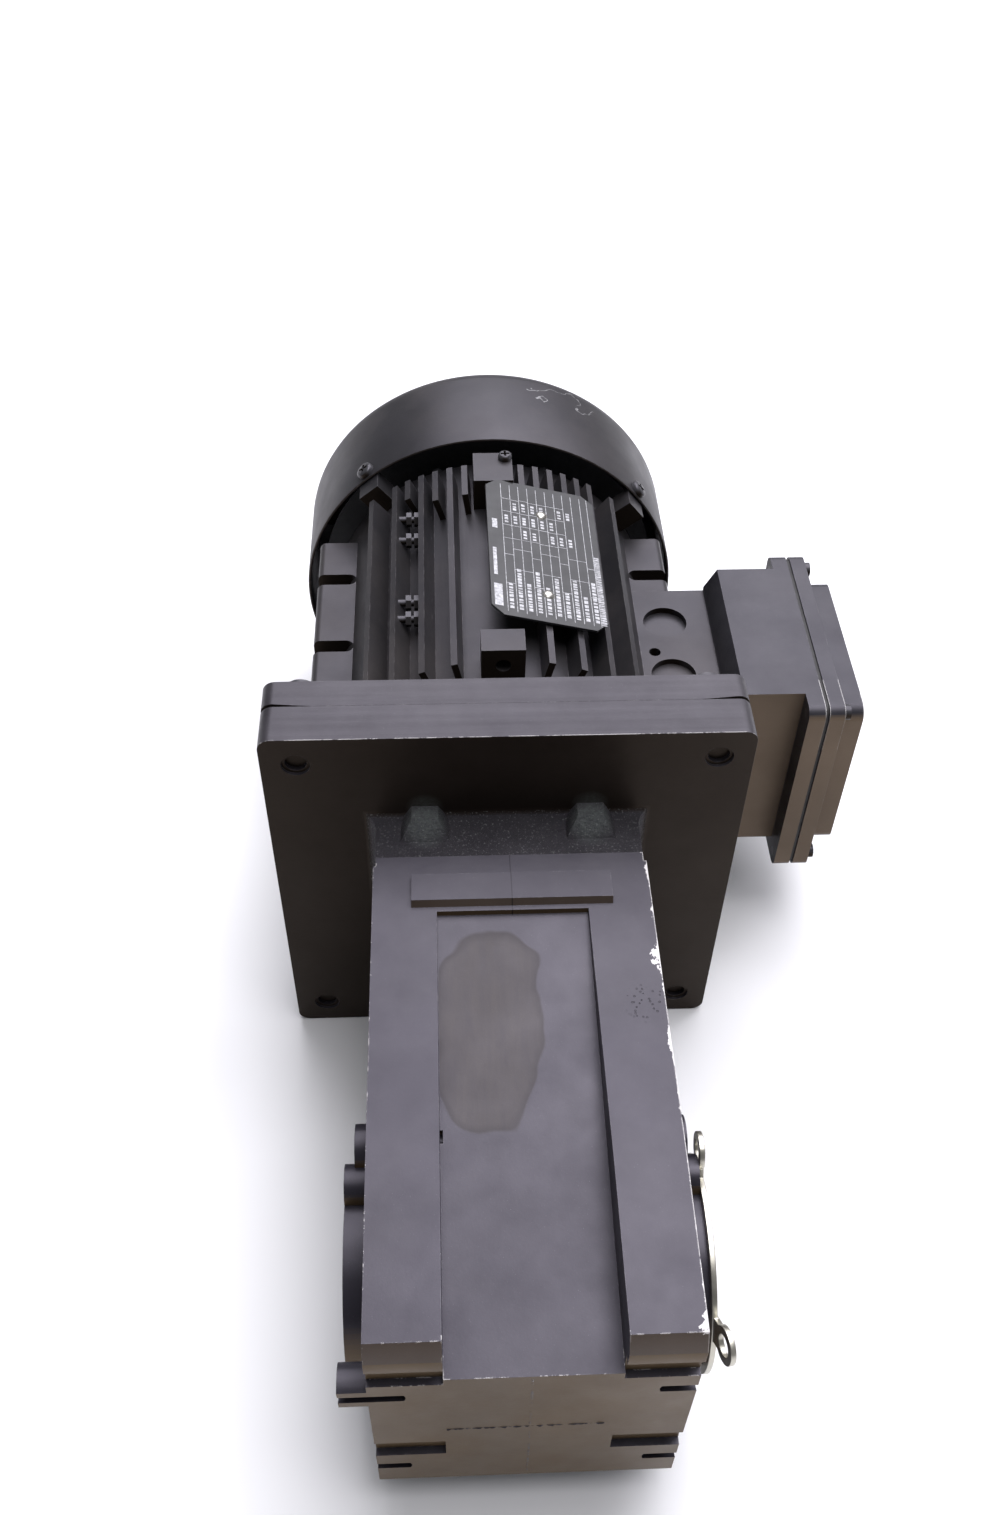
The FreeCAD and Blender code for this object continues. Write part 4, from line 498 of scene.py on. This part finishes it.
AROUND_X, AROUND_Y = (20, 1, 1), (1, 20, 1)
RIGHT_EDGE = ((0.0480, -0.055, 0.060), (0.052, 0.127, 0.072), 0.8)
LEFT_EDGE = ((-0.052, -0.055, 0.060), (-0.0480, 0.127, 0.072), 0.25)
END_EDGES = ((-0.051, -0.056, 0.040), (0.051, -0.046, 0.072), 0.35)
PLATE_EDGE = ((-0.091, 0.1445, 0.1095), (0.091, 0.148, 0.112), 0.55)
PLATE_EDGE_BARE = ((0.020, 0.1445, 0.1095), (0.044, 0.149, 0.112), 1.0)
LID_CORNER = ((0.130, 0.190, 0.050), (0.156, 0.212, 0.078), 1.0)
# Each front colour is a painted floor reflection on the faces turned towards the camera.
MATERIALS = {
    "housing_paint": lambda: paint(
        "housing_paint", (0.017, 0.0155, 0.021), (0.026, 0.024, 0.032), 0.33, chips=0.5,
        bare_edges=[RIGHT_EDGE, LEFT_EDGE, END_EDGES], front=(0.075, 0.050, 0.024), front_gloss=0.35,
        extras=[stained_floor, pin_holes, worn_rim, parting_line]),
    "flange_paint": lambda: paint(
        "flange_paint", (0.015, 0.0135, 0.016), (0.024, 0.022, 0.026), 0.36, chips=0.4,
        bare_edges=[PLATE_EDGE, PLATE_EDGE_BARE], extras=[rough_casting, brushed_edge]),
    "motor_paint": lambda: paint(
        "motor_paint", (0.012, 0.012, 0.0135), (0.021, 0.020, 0.021), 0.38, chips=0.2,
        dust=0.35, dust_colour=(0.085, 0.074, 0.066), extras=[scratched]),
    "box_paint": lambda: paint(
        "box_paint", (0.013, 0.013, 0.016), (0.020, 0.020, 0.024), 0.37, chips=0.35,
        bare_edges=[LID_CORNER], front=(0.110, 0.082, 0.058), front_gloss=0.3),
    "zinc_plate": lambda: metal("zinc_plate", (0.62, 0.60, 0.52), 0.34, (1, 1, 1), 180),
    "dark_screw_steel": lambda: paint(
        "dark_screw_steel", (0.02, 0.02, 0.022), (0.04, 0.04, 0.042), 0.30, chips=0.6),
    "bright_screw_steel": lambda: metal("bright_screw_steel", (0.58, 0.56, 0.52), 0.3, AROUND_Y),
    "nameplate_print": lambda: moulded("nameplate_print", (0.012, 0.012, 0.013), 0.35, 2500, 0.05),
    "seal_rubber": lambda: moulded("seal_rubber", (0.018, 0.017, 0.017), 0.62),
    "black_plastic": lambda: moulded("black_plastic", (0.016, 0.016, 0.018), 0.5),
    "board_plastic": lambda: moulded("board_plastic", (0.12, 0.035, 0.025), 0.45),
    "lamination_steel": lambda: metal("lamination_steel", (0.32, 0.32, 0.33), 0.42, AROUND_Y, 900),
    "copper_winding": lambda: metal("copper_winding", (0.55, 0.20, 0.08), 0.35, (1, 8, 1), 500),
    "cast_aluminium": lambda: metal("cast_aluminium", (0.55, 0.55, 0.56), 0.45, (1, 1, 1), 400),
    "ground_steel": lambda: metal("ground_steel", (0.50, 0.50, 0.52), 0.22, AROUND_X, 400),
    "gear_steel": lambda: metal("gear_steel", (0.40, 0.40, 0.42), 0.28, AROUND_X, 400),
    "bearing_steel": lambda: metal("bearing_steel", (0.62, 0.62, 0.64), 0.16, AROUND_X, 400),
}
made = {name: build() for name, build in MATERIALS.items()}
NODE_SLOT = {entry["node"]: entry["material_slot"] for entry in frame["record"]["subparts"]}
# A node whose look is not the one of its slot.
NODE_LOOK = {"input_flange": "flange_paint"}


def dress(piece, material):
    """Give a piece one material."""
    piece.data.materials.clear()
    piece.data.materials.append(material)


def look(node):
    """The material made for a CAD node."""
    return made[NODE_LOOK.get(node, NODE_SLOT[node])]


for node, piece in frame["nodes"].items():
    dress(piece, look(node))

# ---------------------------------------------------------------- softened copies of the CAD castings


SAME_POINT = 2e-6
FLAT_ANGLE = math.radians(0.6)
EDGE_ANGLE = math.radians(32)
SMOOTH_ANGLE = math.radians(40)


def softened(node, width_mm):
    """A copy of a CAD node with small true radii on its edges; it stands for the node."""
    source = frame["nodes"][node]
    mesh = source.data.copy()
    piece = bpy.data.objects.new(node + "_soft", mesh)
    bpy.context.scene.collection.objects.link(piece)
    work = bmesh.new()
    work.from_mesh(mesh)
    bmesh.ops.remove_doubles(work, verts=work.verts, dist=SAME_POINT)
    bmesh.ops.dissolve_limit(work, angle_limit=FLAT_ANGLE, verts=work.verts, edges=work.edges)
    work.to_mesh(mesh)
    work.free()
    bevel = piece.modifiers.new("edges", "BEVEL")
    bevel.width = width_mm * MM
    bevel.segments = 2
    bevel.limit_method = "ANGLE"
    bevel.angle_limit = EDGE_ANGLE
    bevel.use_clamp_overlap = True
    bevel.harden_normals = False
    applied(piece)
    smooth(piece, SMOOTH_ANGLE)
    weights = piece.modifiers.new("flat_faces", "WEIGHTED_NORMAL")
    weights.keep_sharp = True
    weights.weight = 90
    applied(piece)
    dress(piece, look(node))
    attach(piece, source["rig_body"])
    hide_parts(node)


def applied(piece):
    """Bake the modifiers into the mesh."""
    depsgraph = bpy.context.evaluated_depsgraph_get()
    result = bpy.data.meshes.new_from_object(piece.evaluated_get(depsgraph))
    piece.modifiers.clear()
    piece.data = result


def smooth(piece, angle):
    """Smooth faces, with sharp edges where two faces turn by more than the angle."""
    mesh = piece.data
    for polygon in mesh.polygons:
        polygon.use_smooth = True
    mesh.set_sharp_from_angle(angle=angle)


# Edge widths in millimetres.
SOFTENED = {"gear_housing": 0.5, "side_cover": 0.4, "input_flange": 0.7, "drive_end_flange": 0.7,
            "stator_housing": 0.4, "rear_end_shield": 0.4, "box_adaptor": 0.6, "terminal_box": 0.7,
            "terminal_box_lid": 0.9, "cover_ring": 0.3}
for node, width in SOFTENED.items():
    softened(node, width)

# ---------------------------------------------------------------- helpers for pieces made here


def new_piece(name, work, material, smooth_angle=SMOOTH_ANGLE):
    """Turn a bmesh into a piece that rides on the housing."""
    mesh = bpy.data.meshes.new(name)
    bmesh.ops.recalc_face_normals(work, faces=work.faces)
    work.to_mesh(mesh)
    work.free()
    piece = bpy.data.objects.new(name, mesh)
    bpy.context.scene.collection.objects.link(piece)
    smooth(piece, smooth_angle)
    dress(piece, material)
    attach(piece, "housing")
    return piece


def lathe(work, profile, frame_matrix, steps):
    """Add a closed (radius, height) profile turned about a frame's own Z."""
    rings = []
    for n in range(steps):
        angle = 2 * math.pi * n / steps
        rings.append([work.verts.new(frame_matrix @ Vector((r * math.cos(angle), r * math.sin(angle), h)))
                      for r, h in profile])
    count = len(profile)
    for n in range(steps):
        here, there = rings[n], rings[(n + 1) % steps]
        for k in range(count):
            corners = [here[k], here[(k + 1) % count], there[(k + 1) % count], there[k]]
            work.faces.new(corners)


def quad_box(work, low, high, frame_matrix):
    """Add a box between two corners of a frame, with its six faces."""
    corners = [work.verts.new(frame_matrix @ Vector((x, y, z)))
               for x in (low[0], high[0]) for y in (low[1], high[1]) for z in (low[2], high[2])]
    for face in ((0, 1, 3, 2), (4, 6, 7, 5), (0, 4, 5, 1), (2, 3, 7, 6), (0, 2, 6, 4), (1, 5, 7, 3)):
        work.faces.new([corners[k] for k in face])


def islands(node):
    """The corner positions of each loose solid of a CAD node."""
    work = bmesh.new()
    work.from_mesh(frame["nodes"][node].data)
    bmesh.ops.remove_doubles(work, verts=work.verts, dist=SAME_POINT)
    found, seen = [], set()
    for start in work.verts:
        if start in seen:
            continue
        stack, here = [start], []
        seen.add(start)
        while stack:
            vert = stack.pop()
            here.append(vert.co.copy())
            for edge in vert.link_edges:
                other = edge.other_vert(vert)
                if other not in seen:
                    seen.add(other)
                    stack.append(other)
        found.append(here)
    work.free()
    return found


MOTOR_TURN = Matrix.Translation((0, 0, MOTOR_Z)) @ Matrix.Rotation(math.radians(-90), 4, "X")

# ---------------------------------------------------------------- fan cowl

COWL_WALL = 1.5 * MM
COWL_CORNER = 12 * MM
GRILLE_PITCH = 4.6 * MM
GRILLE_BAR = 2.7 * MM
GRILLE_CHAMFER = 0.4 * MM
GRILLE_MARGIN = 9 * MM
HUB_RADIUS = 8 * MM
SPOKES = 8
SPOKE_HALF = 1.6 * MM
CORNER_STEPS = 8


def make_cowl():
    """The cowl as bent sheet, turned about the motor axis, with fine rings and spokes across its back."""
    front, back = COWL_LOW.y, COWL_HIGH.y
    radius = (COWL_HIGH.x - COWL_LOW.x) / 2
    inner_edge = radius - COWL_CORNER - GRILLE_MARGIN
    bend = radius - COWL_CORNER
    thin = COWL_CORNER - COWL_WALL
    outside = [(radius, front + 1.2 * MM), (radius, back - COWL_CORNER)]
    inside = [(radius - COWL_WALL, back - COWL_CORNER), (radius - COWL_WALL, front + 1.2 * MM)]
    for n in range(1, CORNER_STEPS + 1):
        angle = math.pi / 2 * n / CORNER_STEPS
        outside.append((radius - COWL_CORNER * (1 - math.cos(angle)),
                        back - COWL_CORNER * (1 - math.sin(angle))))
        inside.insert(0, (bend + thin * math.cos(angle), back - COWL_CORNER + thin * math.sin(angle)))
    hem = [(radius - COWL_WALL * 0.85, front + 0.25 * MM), (radius - COWL_WALL * 0.5, front),
           (radius - COWL_WALL * 0.15, front + 0.25 * MM)]
    profile = outside + [(inner_edge, back), (inner_edge, back - COWL_WALL)] + inside + hem
    work = bmesh.new()
    lathe(work, profile, MOTOR_TURN, 160)
    ring = inner_edge
    while ring - GRILLE_PITCH > HUB_RADIUS:
        ring -= GRILLE_PITCH
        low, high = ring - GRILLE_BAR / 2, ring + GRILLE_BAR / 2
        lathe(work, [(low, back - COWL_WALL), (high, back - COWL_WALL), (high - GRILLE_CHAMFER, back),
                     (low + GRILLE_CHAMFER, back)], MOTOR_TURN, 96)
    for n in range(SPOKES):
        turn = MOTOR_TURN @ Matrix.Rotation(2 * math.pi * n / SPOKES, 4, "Z")
        quad_box(work, (HUB_RADIUS / 2, -SPOKE_HALF, back - COWL_WALL * 0.95),
                 (inner_edge + MM, SPOKE_HALF, back - 0.1 * MM), turn)
    lathe(work, [(0.5 * MM, back - COWL_WALL), (HUB_RADIUS, back - COWL_WALL), (HUB_RADIUS, back),
                 (0.5 * MM, back)], MOTOR_TURN, 48)
    piece = new_piece("fan_cowl_sheet", work, made["motor_paint"])
    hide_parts("fan_cowl")


make_cowl()

# ---------------------------------------------------------------- cross-head screws


HEAD_STEPS = 48
HEAD_RISE = 2.6 * MM
SHANK_LENGTH = 9 * MM


def screw_head(work, turn, radius, rise):
    """A pan head about a frame's own Z, with a cross recess sunk to a star-shaped floor."""
    slot_wide, slot_long = radius * 0.17, radius * 0.62
    angles = [2 * math.pi * n / HEAD_STEPS for n in range(HEAD_STEPS)]
    star = []
    for angle in angles:
        near = min(abs((angle - math.pi * k / 2 + math.pi) % (2 * math.pi) - math.pi) for k in range(4))
        across = slot_wide / max(math.sin(near), 1e-3)
        star.append(max(min(across, slot_long / math.cos(near)), slot_wide * 1.35))
    levels = [(1, 0), (1, 0.45), (0.93, 0.78), (0.76, 0.97)]
    rings = [[(radius * share, rise * high)] * HEAD_STEPS for share, high in levels]
    rings.append([(r, rise) for r in star])
    rings.append([(r * 0.72, rise * 0.35) for r in star])
    built = [[work.verts.new(turn @ Vector((r * math.cos(angle), r * math.sin(angle), h)))
              for angle, (r, h) in zip(angles, ring)] for ring in rings]
    for lower, upper in zip(built, built[1:]):
        for n in range(HEAD_STEPS):
            after = (n + 1) % HEAD_STEPS
            work.faces.new([lower[n], lower[after], upper[after], upper[n]])
    work.faces.new(built[-1])
    work.faces.new(list(reversed(built[0])))


def outward_turn(points, direction):
    """A frame at the outer end of a loose solid, with Z along its direction, and the end's radius."""
    direction = direction.normalized()
    top = max(point.dot(direction) for point in points)
    ring = [point for point in points if point.dot(direction) > top - 0.3 * MM]
    centre = sum(ring, Vector()) / len(ring)
    turn = Matrix.Translation(centre) @ direction.to_track_quat("Z", "Y").to_matrix().to_4x4()
    return turn, max((point - centre).length for point in ring)


def make_cowl_screws():
    """A cross-head screw for each screw of the cowl and for the one in the rear top pad."""
    work = bmesh.new()
    for points in islands("cowl_screws"):
        middle = sum(points, Vector()) / len(points)
        on_pad = max(point.y for point in points) < COWL_LOW.y
        direction = Vector((0, 0, 1)) if on_pad else Vector((middle.x, 0, middle.z - MOTOR_Z))
        turn, radius = outward_turn(points, direction)
        spin = Matrix.Translation((0, 0, -HEAD_RISE)) @ Matrix.Rotation(rng.uniform(0, math.pi), 4, "Z")
        screw_head(work, turn @ spin, radius, HEAD_RISE)
        shank, core = radius * 0.55, 0.2 * MM
        lathe(work, [(core, -SHANK_LENGTH), (shank, -SHANK_LENGTH), (shank, core), (core, core)],
              turn @ spin, 24)
    piece = new_piece("cowl_screws_cross_head", work, made["dark_screw_steel"])
    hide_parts("cowl_screws")


make_cowl_screws()

# ---------------------------------------------------------------- print on the nameplate

PLATE_TILT = math.radians(14.4)
PLATE_HALF_THICK = 0.5 * MM
PRINT_LIFT = 0.04 * MM
COLUMNS = [-17.5, -13.6, -9.8, -5.8, -1.9, 2.1, 6.0, 9.9, 13.8, 17.8, 21.0]
LINE_WIDE = 0.2


def print_frame():
    """A frame on the nameplate's face: X across the motor, Y along it, Z off the plate."""
    low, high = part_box("nameplate")
    centre = (low + high) / 2
    turn = Matrix.Rotation(PLATE_TILT, 4, "Y")
    return Matrix.Translation(centre) @ turn @ Matrix.Translation((0, 0, PLATE_HALF_THICK))


def make_print():
    """A ruled grid with plain bars in its cells, where a real plate has its data; all in millimetres."""
    base = print_frame()
    work = bmesh.new()

    def bar(x, y, across, along):
        quad_box(work, (x * MM, y * MM, 0.002 * MM), ((x + across) * MM, (y + along) * MM, PRINT_LIFT), base)

    def column_lines(k, x, wide):
        """Short lines across one column, at about the same places in the first seven."""
        for y in (4.5, 13.5, 22.5, 31.0):
            if k < 7:
                bar(x, y + rng.uniform(-0.3, 0.3), wide, LINE_WIDE)
        for y in ((-15.0, -2.0) if k % 3 else (-24.0, -6.0)):
            bar(x, y, wide, LINE_WIDE)

    def column_bars(k, x):
        """A row of dashes at one end of a column, and groups of three in its cells."""
        y = -39.0
        end = -16.0 if k % 2 else -24.0
        while y < end:
            dash = rng.uniform(0.7, 2.0)
            bar(x + 1.0, y, 1.7, dash)
            y += dash + rng.uniform(0.35, 0.8)
        if k < 8:
            for start in (6.0, 15.0, 24.0):
                if rng.random() < 0.72:
                    for step in range(3):
                        bar(x + 1.1, start + step * 1.9, 1.5, rng.uniform(0.9, 1.5))

    for x in COLUMNS:
        bar(x, -41, 0.22, 82)
    for k, x in enumerate(COLUMNS[:-1]):
        column_lines(k, x, COLUMNS[k + 1] - x)
    for k, x in enumerate(COLUMNS[:-1]):
        column_bars(k, x)
    for x, y, across, along in ((-22.6, -38.5, 3.4, 13), (-22.3, -20, 1.5, 17), (-22.0, 10, 2.2, 6)):
        bar(x, y, across, along)
    y = -40.0
    while y < 2:
        thick = rng.uniform(0.25, 1.0)
        bar(21.3, y, 2.2, thick)
        y += thick + rng.uniform(0.2, 0.55)
    n = Nodes("print_white")
    worn = n.ramp(n.noise(700, 4, 0.7), 0.35, 0.6)
    n.feed(n.shader.inputs["Base Color"], n.mix(worn, (0.22, 0.22, 0.23), (0.52, 0.52, 0.54)))
    n.shader.inputs["Roughness"].default_value = 0.5
    new_piece("nameplate_grid", work, n.material)


make_print()

# ---------------------------------------------------------------- mould flash on the end face


FLASH_SUNK = 0.02 * MM
FLASH_WANDER = 0.12
RIDGE_STEPS = 70


def add_ridge(work, start, end, wide, rise, gap):
    """A ragged three-sided ridge between two points; gap is the share of its steps that are flat."""
    along = (end - start) / RIDGE_STEPS
    side = Vector((0, 1, 0)).cross(along).normalized()
    previous = None
    for k in range(RIDGE_STEPS + 1):
        tall = rise * rng.uniform(0.25, 1.0) * (rng.random() > gap)
        thick = wide * rng.uniform(0.6, 1.3)
        middle = start + along * k + side * rng.uniform(-FLASH_WANDER, FLASH_WANDER) * MM
        corners = [work.verts.new(middle + side * thick), work.verts.new(middle - Vector((0, tall, 0))),
                   work.verts.new(middle - side * thick)]
        if previous:
            for a, b in ((0, 1), (1, 2), (2, 0)):
                work.faces.new([previous[a], previous[b], corners[b], corners[a]])
        else:
            work.faces.new(corners)
        previous = corners
    work.faces.new(list(reversed(previous)))


def make_flash():
    """The ragged ridges where the mould halves met: one across the end face and one down it."""
    front = END_FACE_Y + FLASH_SUNK
    work = bmesh.new()
    add_ridge(work, Vector((-26.5 * MM, front, 2.6 * MM)), Vector((23.5 * MM, front, 3.4 * MM)),
              wide=0.30 * MM, rise=0.45 * MM, gap=0.15)
    add_ridge(work, Vector((-0.4 * MM, front, 44 * MM)), Vector((0.2 * MM, front, -44 * MM)),
              wide=0.45 * MM, rise=0.30 * MM, gap=0.35)
    new_piece("mould_flash", work, made["housing_paint"], smooth_angle=math.radians(20))


make_flash()

make_camera()
make_floor()
make_lights()
